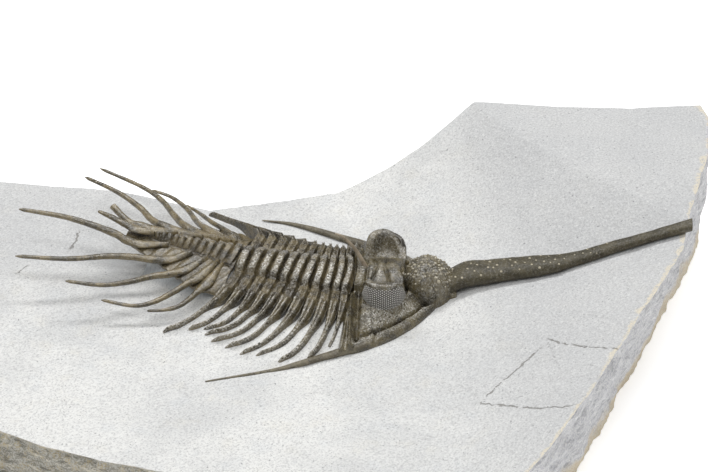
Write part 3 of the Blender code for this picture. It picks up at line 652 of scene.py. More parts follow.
def head_top(row, s, t, ground):
    """Height of the head shield: border and cheek by the distance to the edge, blended into the
    ridge at the back, the glabella and the front lobe, with bell-shaped furrows cut between
    them and bell-shaped ridges raised beside them."""
    a = np.abs(t)
    edge = head_edge(s) - a
    border = ground + 0.45 + 1.35 * np.sin(0.5 * np.pi * np.clip(edge / 2.3, 0, 1)) ** 0.8
    slope = np.minimum(1.75 + 0.92 * (edge - 2.6), 4.9 + 0.12 * (edge - 7))
    cheek = 0.6 * ground + slope
    height = np.where(edge < 2.6, border, np.maximum(cheek, border * (1 - smooth((edge - 2.6) / 1.5))))
    height = height - 0.55 * np.exp(-((edge - 2.65) / 0.28) ** 2)
    suture = s - 3.0 - 0.16 * (a - 12)
    height = height + 0.35 * np.exp(-(suture / 0.4) ** 2) * smooth((a - 11.0) / 1.5) * smooth(edge / 1.5)
    height = height - 0.35 * np.exp(-((suture - 0.7) / 0.25) ** 2) * smooth((a - 11.0) / 1.5)
    front_ridge = s - 9.5 - 0.62 * (a - 8.5)
    ridge_share = smooth((edge - 1.5) / 1.5) * smooth((a - 6.0) / 2.0)
    height = height + 0.3 * np.exp(-(front_ridge / 0.3) ** 2) * ridge_share
    share = 1.0 - smooth((s + 0.1) / 0.6)
    bright = np.exp(-((s + 0.75) / 0.36) ** 2) * smooth((a - 7.0) / 1.5)
    ridge = pleura_height(t, 22.0, 1.6) - 0.5 + 1.1 * bright
    ridge = ridge + 0.75 * np.exp(-((row - 0.75) / 0.38) ** 2) * smooth((a - 10.5) / 2.5)
    ridge = ridge + 0.8 * np.exp(-((row - 1.2) / 0.45) ** 2) * (1 - smooth((a - 6.0) / 1.5))
    ridge = ridge - 1.4 * smooth((-t - 8.0) / 4.0)
    height = height * (1 - share) + ridge * share
    height = height - 0.6 * (1 - np.sqrt(np.clip(1 - np.clip((0.7 - row) / 0.47, 0, 1) ** 2, 0, 1)))
    groove = np.exp(-((s - 0.6) / 0.5) ** 2) * smooth((a - 5.5) / 1.5)
    height = height - 1.3 * groove * smooth((edge - 1.0) / 2.0)
    arch = np.clip(1 - (a / GLABELLA_WIDTH) ** 2, 0, 1) ** 0.5
    turn = row + 0.26 * a
    furrows = (np.exp(-((row - 2.35) / 0.26) ** 2) + 0.9 * np.exp(-((turn - 4.6) / 0.26) ** 2)
               + 0.8 * np.exp(-((row - 0.3 * a - 5.6) / 0.3) ** 2)
               + 0.35 * np.exp(-((row - 3.6) / 0.18) ** 2))
    furrows = furrows * (0.3 + 0.7 * smooth((a - 0.6) / 1.6))
    swell = 0.35 * np.exp(-((row - 1.1) / 0.7) ** 2) + 0.25 * np.exp(-((row - 7.6) / 1.2) ** 2)
    trunk = FURROW + (CREST - FURROW + swell) * arch - furrows * arch
    inside = 1.0 - smooth((row - TRUNK_END) / 1.2)
    middle = np.maximum(np.maximum(height * (1 - inside), trunk * inside), np.minimum(height, 4.0))
    blend = 1.0 - smooth((a - GLABELLA_WIDTH + 0.3) / 0.6)
    height = height * (1 - blend) + middle * blend
    beside = np.exp(-((a - GLABELLA_WIDTH - 0.35) / 0.4) ** 2) * inside
    height = height - 1.2 * beside
    away = np.hypot(s - LOBE_CENTRE[0], t)
    trench = np.exp(-((away - LOBE_RADIUS - 0.3) / 0.45) ** 2) * smooth((edge - 1.2) / 1.5)
    height = height - 1.3 * trench
    lobe = LOBE_CENTRE[1] + np.sqrt(np.clip(LOBE_RADIUS ** 2 - away ** 2, 0, None))
    lobe = lobe - 0.9 * smooth((s - 14.6) / 4.5) * (lobe - LOBE_CENTRE[1]) / LOBE_RADIUS
    rough = 0.38 * lumps(s, t, 2.3, 23) + 0.14 * lumps(s, t, 0.9, 24)
    lobe = lobe + rough * smooth((lobe - 4.6) / 1.5)
    height = np.where(away < LOBE_RADIUS, np.maximum(height, lobe), height)
    return height + 0.07 * lumps(s, t, 1.1, 25) + 0.03 * lumps(s, t, 0.5, 26)


def head_point(row, across):
    """A point of the head shield's top from its row, 0 at the back, and its share across, from
    -1 on the left to 1 on the right."""
    reach = head_edge(row)
    fade = 1.0 - smooth(row / 12.0)
    s = row - table(np.abs(across * reach), HEAD_FALL) * fade
    t = across * head_edge(s)
    place = on_slab(s, t, 0.0, bend=False)
    ground = rock(place[..., 0], place[..., 1])
    place[..., 2] = np.maximum(head_top(row, s, t, ground), ground + 0.3)
    return place


def head_sheen(row, s, t):
    """How much painted sheen the head gets at a point, a paler colour laid in place of its highlights:
    the cheeks, the back ridges and the trunk's rings most, the trunk's rings and the front lobe mostly on
    the right, the furrows not at all."""
    a = np.abs(t)
    edge = head_edge(s) - a
    cheek = smooth((edge - 2.9) / 0.6) * smooth((a - 6.5) / 1.5) * smooth((s - 3.2) / 0.5)
    border = 0.3 * smooth((edge - 0.4) / 0.8) * (1 - smooth((edge - 2.0) / 0.4))
    back = 0.9 * np.exp(-((s + 0.75) / 0.3) ** 2) * smooth((a - 7) / 2)
    rings = (np.exp(-((row - 1.2) / 0.5) ** 2) + np.exp(-((row - 3.2) / 0.35) ** 2)
             + np.exp(-((row - 4.9) / 0.4) ** 2))
    trunk = 0.5 * rings * (1 - smooth((a - 4.6) / 0.5)) * smooth((t + 1) / 2)
    lobe = 0.2 * (np.hypot(s - LOBE_CENTRE[0], t) < LOBE_RADIUS) * smooth((t + 2.5) / 5)
    return np.clip(cheek * smooth((s - 2.5) / 2.5) + border + back + trunk + lobe, 0, 1)


def head_plate():
    """The grid of the top, closed at its rim by walls sunk in the rock and by a level underside. With it
    comes how much painted sheen each point gets."""
    row, across = np.meshgrid(np.linspace(0.25, HEAD_LENGTH, HEAD_ROWS),
                              np.linspace(-1, 1, HEAD_COLUMNS), indexing="ij")
    top = head_point(row, across)
    t = across * head_edge(row)
    painted_sheen = np.concatenate([head_sheen(row, row, t), np.zeros((HEAD_ROWS, 2))], 1)
    under = top[:, [-1, 0]]
    under[..., 2] = rock(under[..., 0], under[..., 1]) - SUNK
    ring = np.concatenate([top, under], 1)
    number = np.arange(painted_sheen.size).reshape(painted_sheen.shape)
    return ring, [grid_faces(*painted_sheen.shape, closed=True), number[0], number[-1]], painted_sheen


def spline_through(points, count):
    """Points evenly spread on a smooth curve through a few given ones (Catmull-Rom)."""
    p = np.asarray(points, float)
    p = np.vstack([2 * p[0] - p[1], p, 2 * p[-1] - p[-2]])
    where = np.linspace(0.0, len(points) - 1.0001, count)
    i = where.astype(int)
    u = (where - i)[:, None]
    a, b, c, d = p[i], p[i + 1], p[i + 2], p[i + 3]
    return 0.5 * (2 * b + (c - a) * u + (2 * a - 5 * b + 4 * c - d) * u ** 2
                  + (3 * b - a - 3 * c + d) * u ** 3)


def rod(centres, wide, high, sides=16):
    """A tapering rod along a line: an oval ring square to the line at each of its points, with
    the wide way of the oval level."""
    ahead = np.gradient(centres, axis=0)
    ahead /= np.linalg.norm(ahead, axis=1)[:, None]
    across = np.cross(ahead, (0.0, 0.0, 1.0))
    across /= np.linalg.norm(across, axis=1)[:, None]
    up = np.cross(across, ahead)
    angle = 2 * np.pi * np.arange(sides) / sides
    ring = (centres[:, None] + (wide[:, None] * np.cos(angle))[..., None] * across[:, None]
            + (high[:, None] * np.sin(angle))[..., None] * up[:, None])
    number = np.arange(len(centres) * sides).reshape(-1, sides)
    return ring, [grid_faces(len(centres), sides, closed=True), ladder(number[0]), ladder(number[-1])]


def snout_course(s):
    """The snout spine's sideways drift in proportion to its length, its half width and half
    height, and the bell-shaped rise of its root."""
    t = -SNOUT_SPINE_DRIFT * np.clip(s - SNOUT_SPINE_ROOT, 0, None) / (SNOUT_SPINE_TIP - SNOUT_SPINE_ROOT)
    root = 0.8 * np.exp(-((s - 22.0) / 3.2) ** 2)
    return t, table(s, SNOUT_HALF_WIDTH), table(s, SNOUT_HALF_HEIGHT), root


def snout_spine():
    """A flattened blade that lies on the rock: an oval ring at each step, drifting sideways."""
    s = np.linspace(13.5, SNOUT_SPINE_TIP, 220)
    t, half_width, half_height, root = snout_course(s)
    angle = 2 * np.pi * (np.arange(36) + 0.5) / 36
    lip = np.sign(np.cos(angle)) * np.abs(np.cos(angle)) ** 0.8
    across = t[:, None] + half_width[:, None] * lip
    place = on_slab(s[:, None], across, 0.0, bend=False)
    ground = rock(place[..., 0], place[..., 1])
    rise = half_height[:, None] * (1.0 + np.sin(angle)) + root[:, None]
    wave = 0.06 * lumps(s[:, None] + 0 * rise, across, 1.3, 21) * smooth(np.sin(angle) / 0.5)
    place[..., 2] = ground - SUNK + 0.3 + rise + wave
    number = np.arange(place[..., 0].size).reshape(place.shape[:2])
    faces = [grid_faces(*number.shape, closed=True), ladder(number[0]), ladder(number[-1])]
    return place, faces


def cheek_spine(side):
    """The spine that each cheek sends back along the rock; the left one lost its tip."""
    end = (-28.4, 30.7, 0) if side > 0 else (-22.0, 28.2, 0)
    line = spline_through(((5.2, 15.6, 0), (0.5, 18.8, 0), (-4.2, 21.3, 0),
                           (-10.5, 24.6, 0), (-15.9, 26.9, 0), end), 110)
    width = np.interp(np.linspace(0, 1, 110), (0, 0.15, 0.6, 1), (1.1, 1.15, 0.72, 0.15))
    centres = on_slab(line[:, 0], side * line[:, 1], 0.0, bend=False)
    centres[:, 2] = rock(centres[:, 0], centres[:, 1]) + 0.45 * width
    return rod(centres, width, 0.75 * width)


def neck_spine():
    """The thin spine that stands up from the neck ring and leans back."""
    line = spline_through(((2.0, 0.3, 6.8), (0.9, 0.2, 9.4), (-0.6, 0.0, 12.0), (-2.8, -0.2, 14.4),
                           (-4.4, -0.2, 15.2)), 40)
    centres = on_slab(line[:, 0], line[:, 1], line[:, 2], bend=False)
    width = table(np.linspace(0, 1, 40), ((0, 0.75), (0.12, 0.5), (1, 0.16)))
    return rod(centres, width, width, 12)


def eye_mount(side):
    """The turret of one eye: rings round its axis, up the outer wall, over the brow and down
    into the hollow, which is open to the glabella. The far brow slopes down to the front."""
    around = np.linspace(0, 2 * np.pi, 120, endpoint=False)
    facing = (np.degrees(around) + 180) % 360 - 180
    if side > 0:
        crown = np.interp(facing, (-118, -88, -66, 0, 52, 80, 108),
                          (4.8, 8.0, 10.0, 10.3, 10.0, 8.2, 4.8))
    else:
        crown = np.interp(facing, (-112, -92, -68, -30, 0, 28, 48, 66, 96, 125),
                          (4.8, 6.9, 9.3, 9.7, 9.6, 8.8, 7.8, 7.1, 6.2, 4.8))
    crown = np.convolve(np.concatenate([crown[-4:], crown, crown[:4]]), np.ones(9) / 9, "valid")
    share = np.array((1.10, 1.02, 0.96, 0.94, 0.95, 0.99, 1.02, 1.01, 0.97, 0.9, 0.8, 0.7, 0.63, 0.58,
                      0.54, 0.48, 0.36, 0.2, 0.03))[:, None]
    climb = np.array((0.0, 0.1, 0.25, 0.5, 0.75, 0.86, 0.92, 0.97, 1.0, 1.01, 1.0, 0.96, 0.86, 0.7,
                      0.5, 0.3, 0.16, 0.1, 0.08))[:, None]
    base = np.where(np.arange(len(share)) < 6, 2.6, 5.0)[:, None]
    height = base + (crown - base) * climb
    s = EYE_AT[0] + EYE_SIZE[0] * share * np.sin(around)
    t = EYE_AT[1] + EYE_SIZE[1] * share * np.cos(around)
    height = height + 0.12 * lumps(s + side * 9, t + height, 1.5, 27)
    place = on_slab(s, side * t, height, bend=False)
    number = np.arange(place[..., 0].size).reshape(place.shape[:2])
    return place, [grid_faces(*number.shape, closed=True), number[0], number[-1]]


def domes(places, upward, radius, height):
    """Small round bumps: two rings and a top on each place, square to its surface. With them
    comes how near each point is to the top."""
    upward = upward / np.linalg.norm(upward, axis=1)[:, None]
    side = np.cross(upward, (0.31, 0.87, 0.38))
    side /= np.linalg.norm(side, axis=1)[:, None]
    other = np.cross(upward, side)
    k = np.arange(DOME_SIDES)
    angle = 2 * np.pi * k / DOME_SIDES
    turn = np.cos(angle)[:, None] * side[:, None] + np.sin(angle)[:, None] * other[:, None]
    rings = []
    for out, up in ((1.0, -0.25), (0.72, 0.62)):
        centre = places + upward * (height * up)[:, None]
        rings.append(centre[:, None] + turn * (radius * out)[:, None, None])
    peak = places + upward * height[:, None]
    points = np.concatenate([rings[0], rings[1], peak[:, None]], 1)
    n = (k + 1) % DOME_SIDES
    top = DOME_POINTS - 1
    start = np.arange(len(places))[:, None, None] * DOME_POINTS
    walls = (np.stack([k, n, DOME_SIDES + n, DOME_SIDES + k], -1) + start).reshape(-1, 4)
    caps = (np.stack([DOME_SIDES + k, DOME_SIDES + n, top + 0 * k], -1) + start).reshape(-1, 3)
    floor = (k[None, ::-1] + start[:, 0]).reshape(-1, DOME_SIDES)
    tips = np.tile([0.0] * DOME_SIDES + [0.7] * DOME_SIDES + [1.0], len(places))
    return points, [walls, caps, floor], tips


def spread(low, high, spacing, seed):
    """Places on a rectangle, on a jittered lattice of staggered rows."""
    rng = np.random.default_rng(seed)
    x, y = np.meshgrid(np.arange(low[0], high[0], spacing),
                       np.arange(low[1], high[1], 0.87 * spacing), indexing="ij")
    x = x + 0.5 * spacing * (np.arange(x.shape[1]) % 2)
    jitter = rng.uniform(-0.24, 0.24, (2, *x.shape)) * spacing
    return (x + jitter[0]).ravel(), (y + jitter[1]).ravel()


def head_granules():
    """Granules over the front lobe and the cheeks: domes set on the head's surface, square to
    it, found from the points a little ahead and aside."""
    groups = []
    for part, low, high, spacing, size, seed in (("lobe", (9.6, -5.6), (20.3, 5.6), 1.0, 0.36, 31),
                                                 ("cheek", (3.2, -15.0), (17.0, -6.0), 0.5, 0.12, 33),
                                                 ("cheek", (3.2, 6.0), (17.0, 15.0), 0.5, 0.12, 34)):
        row, t = spread(low, high, spacing, seed)
        across = t / head_edge(row)
        if part == "lobe":
            keep = (np.abs(across) < 0.97) & (np.hypot(row - LOBE_CENTRE[0], t) < LOBE_RADIUS * 0.985)
        else:
            keep = np.abs(across) < 0.84
        row, across = row[keep], across[keep]
        rng = np.random.default_rng(seed + 50)
        at = head_point(row, across)
        ahead = head_point(row + 0.05, across) - at
        aside = head_point(row, across + 0.004) - at
        upward = np.cross(aside, ahead)
        upward *= np.sign(upward[:, 2])[:, None]
        radius = size * rng.uniform(0.65, 1.3, len(at))
        points, faces, tip = domes(at, upward, radius, radius * 0.7)
        pale = np.repeat(rng.uniform(0.3, 1.0, len(at)), DOME_POINTS)
        # The granules take the painted sheen of the head under them
        painted_sheen = np.repeat(head_sheen(row, row, across * head_edge(row)), DOME_POINTS)
        groups.append((points, faces, tip * pale, painted_sheen))
    return groups


def spine_granules():
    """Rows of low granules on the broad half of the snout spine, thinning out forward."""
    rng = np.random.default_rng(41)
    s = 19.5 + np.arange(54) * 0.66 + rng.uniform(-0.25, 0.25, 54)
    lane = np.resize((-0.3, 0.45, 0.08, 0.72, -0.5, 0.26), 54) + rng.uniform(-0.1, 0.1, 54)
    keep = rng.uniform(0, 1, 54) > 0.12 + 0.5 * smooth((s - 38) / 16)
    s, lane = s[keep], lane[keep]
    t, half_width, half_height, root = snout_course(s)
    place = on_slab(s, t + half_width * lane, 0.0, bend=False)
    arch = np.sqrt(1 - np.abs(lane) ** 2.5)
    place[:, 2] = rock(place[:, 0], place[:, 1]) - 0.1 + half_height * (1 + arch) + root
    upward = np.stack([0 * s, -lane * half_height, half_width * arch], -1)
    radius = rng.uniform(0.2, 0.36, len(s))
    return domes(place, upward, radius, radius * 0.5)


SHELL_DARK = (0.038, 0.030, 0.014)
SHELL_OLIVE = (0.135, 0.108, 0.050)
# Painted glint colour, laid in place of sparkling highlights
SHELL_GLINT = (0.72, 0.70, 0.64)
SHELL_CREAM = (0.62, 0.56, 0.42)
# Painted sheen colour, laid in place of broad highlights
SHELL_SHEEN = (0.36, 0.335, 0.275)
SHELL_STAIN = (0.012, 0.010, 0.007)
SPINE_DARK = (0.044, 0.037, 0.020)
SPINE_OLIVE = (0.085, 0.072, 0.040)
CHEEK_SPINE_DARK = (0.10, 0.085, 0.055)
CHEEK_SPINE_OLIVE = (0.19, 0.165, 0.11)
NECK_DARK = (0.22, 0.17, 0.11)
NECK_OLIVE = (0.42, 0.34, 0.24)


def make_shell(name, dark, olive, gloss, sparkle, shine=1.0):
    """Dark olive calcite with lighter patches and fine stains, a painted sheen of lighter olive grey
    where the mesh's painted sheen tone is high, painted glints of pale broken flecks, most of them there
    too, a gloss broken up by fine pitting, and cream tips on its granules."""
    shader = Shader(name)
    still = shader.place()
    cloud = shader.noise(still, 0.35, 4, 0.6)
    fine = shader.noise(still, 1.7, 3, 0.65)
    flecks = shader.noise(still, 2.6, 3, 0.7)
    pits = shader.noise(still, 4.5, 2, 0.6)
    colour = shader.mix(shader.between(cloud, 0.36, 0.64), dark, olive)
    colour = shader.tint(colour, shader.between(fine, 0.44, 0.3), 0.75, SHELL_STAIN)
    # Painted sheen: a lighter olive grey in place of highlights, where the mesh's tone for it is high
    painted_sheen = shader.math("MULTIPLY", shader.tone("painted_sheen"), shader.between(fine, 0.38, 0.56))
    colour = shader.tint(colour, painted_sheen, 0.7, SHELL_SHEEN)
    # Painted glints: pale flecks in place of sparkling highlights, mostly where the painted sheen is
    pale = shader.math("MULTIPLY", shader.between(flecks, 0.52, 0.60),
                       shader.math("MULTIPLY_ADD", shader.tone("painted_sheen"), 0.75, 0.1))
    colour = shader.mix(pale, colour, SHELL_GLINT)
    tip = shader.math("MULTIPLY", shader.tone("tip"), shader.between(cloud, 0.25, 0.5))
    colour = shader.tint(colour, tip, 0.85, SHELL_CREAM)
    surface = shader.surface.inputs
    shader.join(surface["Base Color"], colour)
    shader.join(surface["Roughness"], shader.math("MULTIPLY_ADD", pits, 0.3, gloss))
    surface["Specular IOR Level"].default_value = shine
    relief = shader.bump(fine, 0.26 * sparkle, 1.0)
    relief = shader.bump(pits, 0.07 * sparkle, 1.0, relief)
    shader.join(surface["Normal"], relief)
    return shader.material


shell = make_shell("shell", SHELL_DARK, SHELL_OLIVE, 0.06, 1.0)
spine_shell = make_shell("spine_shell", SPINE_DARK, SPINE_OLIVE, 0.32, 0.5, 0.4)
cheek_spine_shell = make_shell("cheek_spine_shell", CHEEK_SPINE_DARK, CHEEK_SPINE_OLIVE, 0.38, 0.6, 0.5)
neck_shell = make_shell("neck_shell", NECK_DARK, NECK_OLIVE, 0.35, 0.4)

# Each shape is followed by its material's number, its granule tips and its painted sheen
*plate, plate_sheen = head_plate()
head_parts = [(*plate, 0, 0.0, plate_sheen), (*snout_spine(), 1, 0.0, 0.0),
              (*cheek_spine(1), 2, 0.0, 0.0), (*cheek_spine(-1), 2, 0.0, 0.0),
              (*neck_spine(), 3, 0.0, 0.0),
              (*eye_mount(1), 0, 0.0, MOUNT_SHEEN), (*eye_mount(-1), 0, 0.0, MOUNT_SHEEN)]
for points, faces, tip, painted_sheen in head_granules():
    head_parts.append((points, faces, 0, tip, painted_sheen))
points, faces, tip = spine_granules()
head_parts.append((points, faces, 1, tip, 0.0))
tones = {"tip": [], "painted_sheen": []}
for points, faces, number, tip, painted_sheen in head_parts:
    tones["tip"].append(np.full(points.size // 3, np.ravel(tip)))
    tones["painted_sheen"].append(np.full(points.size // 3, np.ravel(painted_sheen)))
head = add_piece("head_shield", [part[:3] for part in head_parts],
                 [shell, spine_shell, cheek_spine_shell, neck_shell],
                 {tone: np.concatenate(values) for tone, values in tones.items()}, 60.0)
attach(head, "root")
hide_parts("cephalon")

# The eyes
# Each is a bank of large round lenses in staggered files, on a band that curves round the outer
# side of its mount. The lenses are calcite too, paler and greyer than the shell.

EYE_SWEEP = np.radians(88.0)
LEFT_EYE_SWEEP = 0.78
LEFT_EYE_DROP = 0.7
BAND_STEPS = 72
BAND_ROWS = 12
BAND_DEPTH = 0.6
LENS_FILES = 34
LENSES_IN_FILE = 10
LENS_RADIUS = 0.19
LEAST_RADIUS = 0.09
LENS_GROOVE = (0.060, 0.054, 0.045)
LENS_PALE = (0.78, 0.76, 0.71)
LENS_PATCH = (0.26, 0.245, 0.21)


def eye_surface(around, climb, side, out=0.0):
    """A point of the band from its angle round the mount and its height share; out is how far
    it stands off in millimetres. Its upper edge falls to the lower one at both ends, and the
    whole band leans in towards its top. The left band droops in proportion to its height."""
    q = np.abs(around) / (0.5 * np.pi)
    low = EYE_LOW - 0.25 + 0.75 * (1 - np.cos(around))
    high = EYE_HIGH + 0.35 - 0.35 * (q / 0.62) ** 2 - 2.9 * smooth((q - 0.62) / 0.4)
    height = low + (np.maximum(high, low + 0.5) - low) * climb
    bulge = 1.0 + 0.10 * np.sin(0.85 * np.pi * np.clip(climb, 0, 1)) - 0.09 * np.clip(climb, 0, 1) ** 2
    bulge = bulge + out / EYE_SIZE[0]
    s = EYE_AT[0] + EYE_SIZE[0] * bulge * np.sin(around)
    t = EYE_AT[1] + EYE_SIZE[1] * bulge * np.cos(around)
    return s, side * t, height - LEFT_EYE_DROP * climb * (side < 0)


def eye_band(side, sweep):
    """The band's outer face and its back, as one closed ring carried round the mount."""
    around = np.linspace(-sweep, sweep, BAND_STEPS)[:, None]
    climb = np.concatenate([np.linspace(0, 1, BAND_ROWS), np.linspace(1, 0, BAND_ROWS)])
    out = np.concatenate([np.zeros(BAND_ROWS), np.full(BAND_ROWS, -BAND_DEPTH)])
    place = on_slab(*eye_surface(around, climb, side, out), bend=False)
    number = np.arange(place[..., 0].size).reshape(place.shape[:2])
    return place, [grid_faces(*number.shape, closed=True), ladder(number[0]), ladder(number[-1])]


def lenses(side, sweep):
    """Round lenses in upright files, every second file half a lens higher. A lens shrinks with
    its room in the file, and is left out where the band is too low for it."""
    file, step = np.meshgrid(np.arange(LENS_FILES), np.arange(LENSES_IN_FILE), indexing="ij")
    around = sweep * 0.97 * (2 * file / (LENS_FILES - 1) - 1)
    climb = (step + 0.5 * (file % 2) + 0.3) / (LENSES_IN_FILE + 0.1)
    around, climb = around.ravel(), climb.ravel()
    at = on_slab(*eye_surface(around, climb, side), bend=False)
    above = on_slab(*eye_surface(around, climb + 0.05, side), bend=False)
    beside = on_slab(*eye_surface(around + 0.02, climb, side), bend=False)
    outer = np.cross(beside - at, above - at) * side
    room = np.linalg.norm(above - at, axis=1) / 0.05 / LENSES_IN_FILE
    radius = np.minimum(LENS_RADIUS, 0.44 * room)
    keep = radius > LEAST_RADIUS
    return domes(at[keep], outer[keep], radius[keep], radius[keep] * 0.85)


def make_lens():
    """Grey calcite; each lens is paler at its top than in the grooves between the lenses."""
    shader = Shader("lens_bank")
    fine = shader.noise(shader.place(), 1.6, 3, 0.6)
    top = shader.between(shader.tone("tip"), 0.35, 0.95)
    colour = shader.mix(top, LENS_GROOVE, LENS_PALE)
    colour = shader.tint(colour, shader.between(fine, 0.45, 0.7), 0.3, LENS_PATCH)
    shader.join(shader.surface.inputs["Base Color"], colour)
    shader.surface.inputs["Roughness"].default_value = 0.3
    shader.surface.inputs["Specular IOR Level"].default_value = 0.7
    return shader.material


lens = make_lens()
for side, name in ((1, "right_eye"), (-1, "left_eye")):
    sweep = EYE_SWEEP if side > 0 else LEFT_EYE_SWEEP * EYE_SWEEP
    band = eye_band(side, sweep)
    points, faces, tip = lenses(side, sweep)
    band_tip = np.tile([0.1] * BAND_ROWS + [0.6] * BAND_ROWS, BAND_STEPS)
    tones = {"tip": np.concatenate([band_tip, tip])}
    eye = add_piece(name + "_lenses", [band, (points, faces)], [lens], tones, 60.0)
    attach(eye, "root")
    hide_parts(name)

# The thorax
# Eleven loose rings of the same shell. Each has a raised arch in the middle, a level rib on both
# sides that bends down at the shoulder, and a free end that curves back as a blade. A furrow runs
# along each rib, and the rings overlap like roof tiles.

RIB_DARK = (0.042, 0.032, 0.016)
RIB_OLIVE = (0.155, 0.122, 0.060)


def segment_shape(number):
    """A closed ring of profile points carried from the left tip to the right one. The profile runs over
    the top from the front (q = 1) to the back (q = -1), and closes below. On the arch it is a roof, at
    the shoulder two bell-shaped bands, and further out one grooved rod. With it comes how much painted
    sheen each point gets, a paler colour in place of highlights: the arch, the crests, the hooks at the
    shoulder and the outer rods, more on the right side than the left."""
    middle = segment_middle(number)
    length = 0.5 * (segment_pitch(number) + segment_pitch(number - 1)) - 0.1
    width = AXIS_WIDTH - 0.35 - 0.09 * max(0.0, -middle - 2.0)
    reach_right, reach_left = RIGHT_REACH[number - 1], LEFT_REACH[number - 1]
    axis = np.linspace(0, 1, 36)
    outer = np.sin(0.5 * np.pi * np.linspace(0, 1, 110)[1:])
    left = -np.concatenate([width * axis, width + (reach_left - width) * outer])
    right = np.concatenate([width * axis, width + (reach_right - width) * outer])
    t = np.concatenate([left[::-1], right[1:]])[:, None]
    reach = np.where(t < 0, reach_left, reach_right)
    tip_sweep = np.where(t < 0, LEFT_SWEEP[number - 1], RIGHT_SWEEP[number - 1])
    straight = np.where(t < 0, LEFT_STRAIGHT[number - 1], RIGHT_STRAIGHT[number - 1])
    tip = np.where(t < 0, LEFT_TIP[number - 1], 0.9)
    a = np.abs(t)
    share = np.clip((a - SHOULDER) / (reach - SHOULDER), 0, 1)
    q = np.concatenate([np.linspace(1, -1, 29), np.linspace(-1, 1, 7)[1:-1]])
    below = np.arange(len(q)) > 28
    half = 0.5 * length * (1 - 0.08 * smooth(share / 0.2) - 0.47 * smooth((share - 0.2) / 0.4)
                           - 0.2 * share ** 2)
    half = half * np.where(t < 0, 1 - 0.45 * smooth(share / 0.25), 1.0)
    on_axis = 1 - smooth((a - width + 0.35) / 0.5)
    arch = 1 - np.clip(a / width, 0, 1) ** 1.75
    crown = 6.0 + 2.05 * arch
    crown = crown * on_axis + pleura_height(t, reach, tip) * (1 - on_axis)
    crown = crown - 0.9 * np.exp(-((a - width - 0.15) / 0.5) ** 2)
    crown = crown - 0.35 * smooth((a - width) / 0.8) * (1 - smooth((a - 10.6) / 0.8))
    roof = 0.4 * (1 - np.abs((q + 0.2) / 0.85) ** 3).clip(-1, 1) - 0.95 * smooth((q - 0.4) / 0.2)
    flat_rib = 0.25 * (1 - np.abs(q) ** 4) - 0.22 * np.exp(-((q - 0.15) / 0.18) ** 2)
    flat_rib = flat_rib - 0.5 * smooth((np.abs(q) - 0.7) / 0.25)
    bands = 0.6 * np.exp(-((q - 0.46) / 0.24) ** 4) + 0.42 * np.exp(-((q + 0.42) / 0.3) ** 4)
    bands = bands - 0.8 * smooth((np.abs(q) - 0.72) / 0.22)
    single = 0.85 * np.sqrt(np.clip(1 - q ** 2, 0, 1))
    single = single - 0.35 * np.exp(-((q - 0.05) / 0.2) ** 2) * (1 - share)
    joined = smooth((share - 0.3) / 0.3)
    bent = smooth((a - 10.3) / 1.2)
    hook = 0.45 * np.exp(-((a - 10.8) / 0.45) ** 2) * np.exp(-((q + 0.45) / 0.4) ** 2)
    rib = flat_rib * (1 - bent) + (bands * (1 - joined) + single * joined) * bent + hook
    top = crown + roof * on_axis + rib * (1 - on_axis)
    top = top + 0.07 * lumps(t + 3 * q, 4 * q + 9.1 * number, 0.8, 51) * (1 - share)
    sweep = backward_sweep(t, width, reach, tip_sweep, straight, ring_fall(number))
    turn = np.arctan(np.gradient(sweep[:, 0], a[:, 0], edge_order=1))[:, None]
    turn = np.nan_to_num(turn) * smooth((share - 0.05) / 0.3)
    s = middle - sweep + half * q * np.cos(turn)
    place = on_slab(s, t + half * q * np.abs(np.sin(turn)) * np.sign(t), 0.0)
    ground = rock(place[..., 0], place[..., 1])
    left_floor = np.maximum(ground, crown - 0.7 - 30 * (1 - share) ** 4)
    floor = np.where(t < 0, left_floor, ground - SUNK)
    nose = np.sqrt(np.clip((1 - share) / 0.05, 0, 1))
    top = np.maximum(top, floor + 0.3)
    place[..., 2] = np.where(below, floor, floor + (top - floor) * (0.2 + 0.8 * nose))
    # Painted sheen: the arch's right half, the ribs' crests and the hooks, in place of highlights
    block = np.exp(-((q + 0.2) / 0.5) ** 4) * on_axis * np.where(t > 0, smooth((a - 0.2) / 0.6), 0.25)
    ridges = np.clip(rib * 1.4, 0, 1) * bent * np.where(t > 0, 0.5 + 0.5 * share, 0.3)
    painted_sheen = (block + (ridges + 0.9 * hook) * (1 - on_axis)) * ~below
    grid = np.arange(place[..., 0].size).reshape(place.shape[:2])
    return place, [grid_faces(*grid.shape, closed=True), ladder(grid[0]), ladder(grid[-1])], painted_sheen


rib_shell = make_shell("rib_shell", RIB_DARK, RIB_OLIVE, 0.06, 0.9)
for number in range(1, SEGMENTS + 1):
    points, faces, painted_sheen = segment_shape(number)
    ring = add_piece(f"thorax_ring_{number:02d}", [(points, faces)], [rib_shell],
                     {"painted_sheen": painted_sheen}, 50.0)
    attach(ring, "root")
    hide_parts(f"thorax_segment_{number:02d}")

# The tail shield
# The last plate: a ringed axis that narrows backwards, ribs that fan out from it, and a spine at
# the end of each rib that rises and curves back over the rock. One spine on the left is broken
# off short, as it was found.

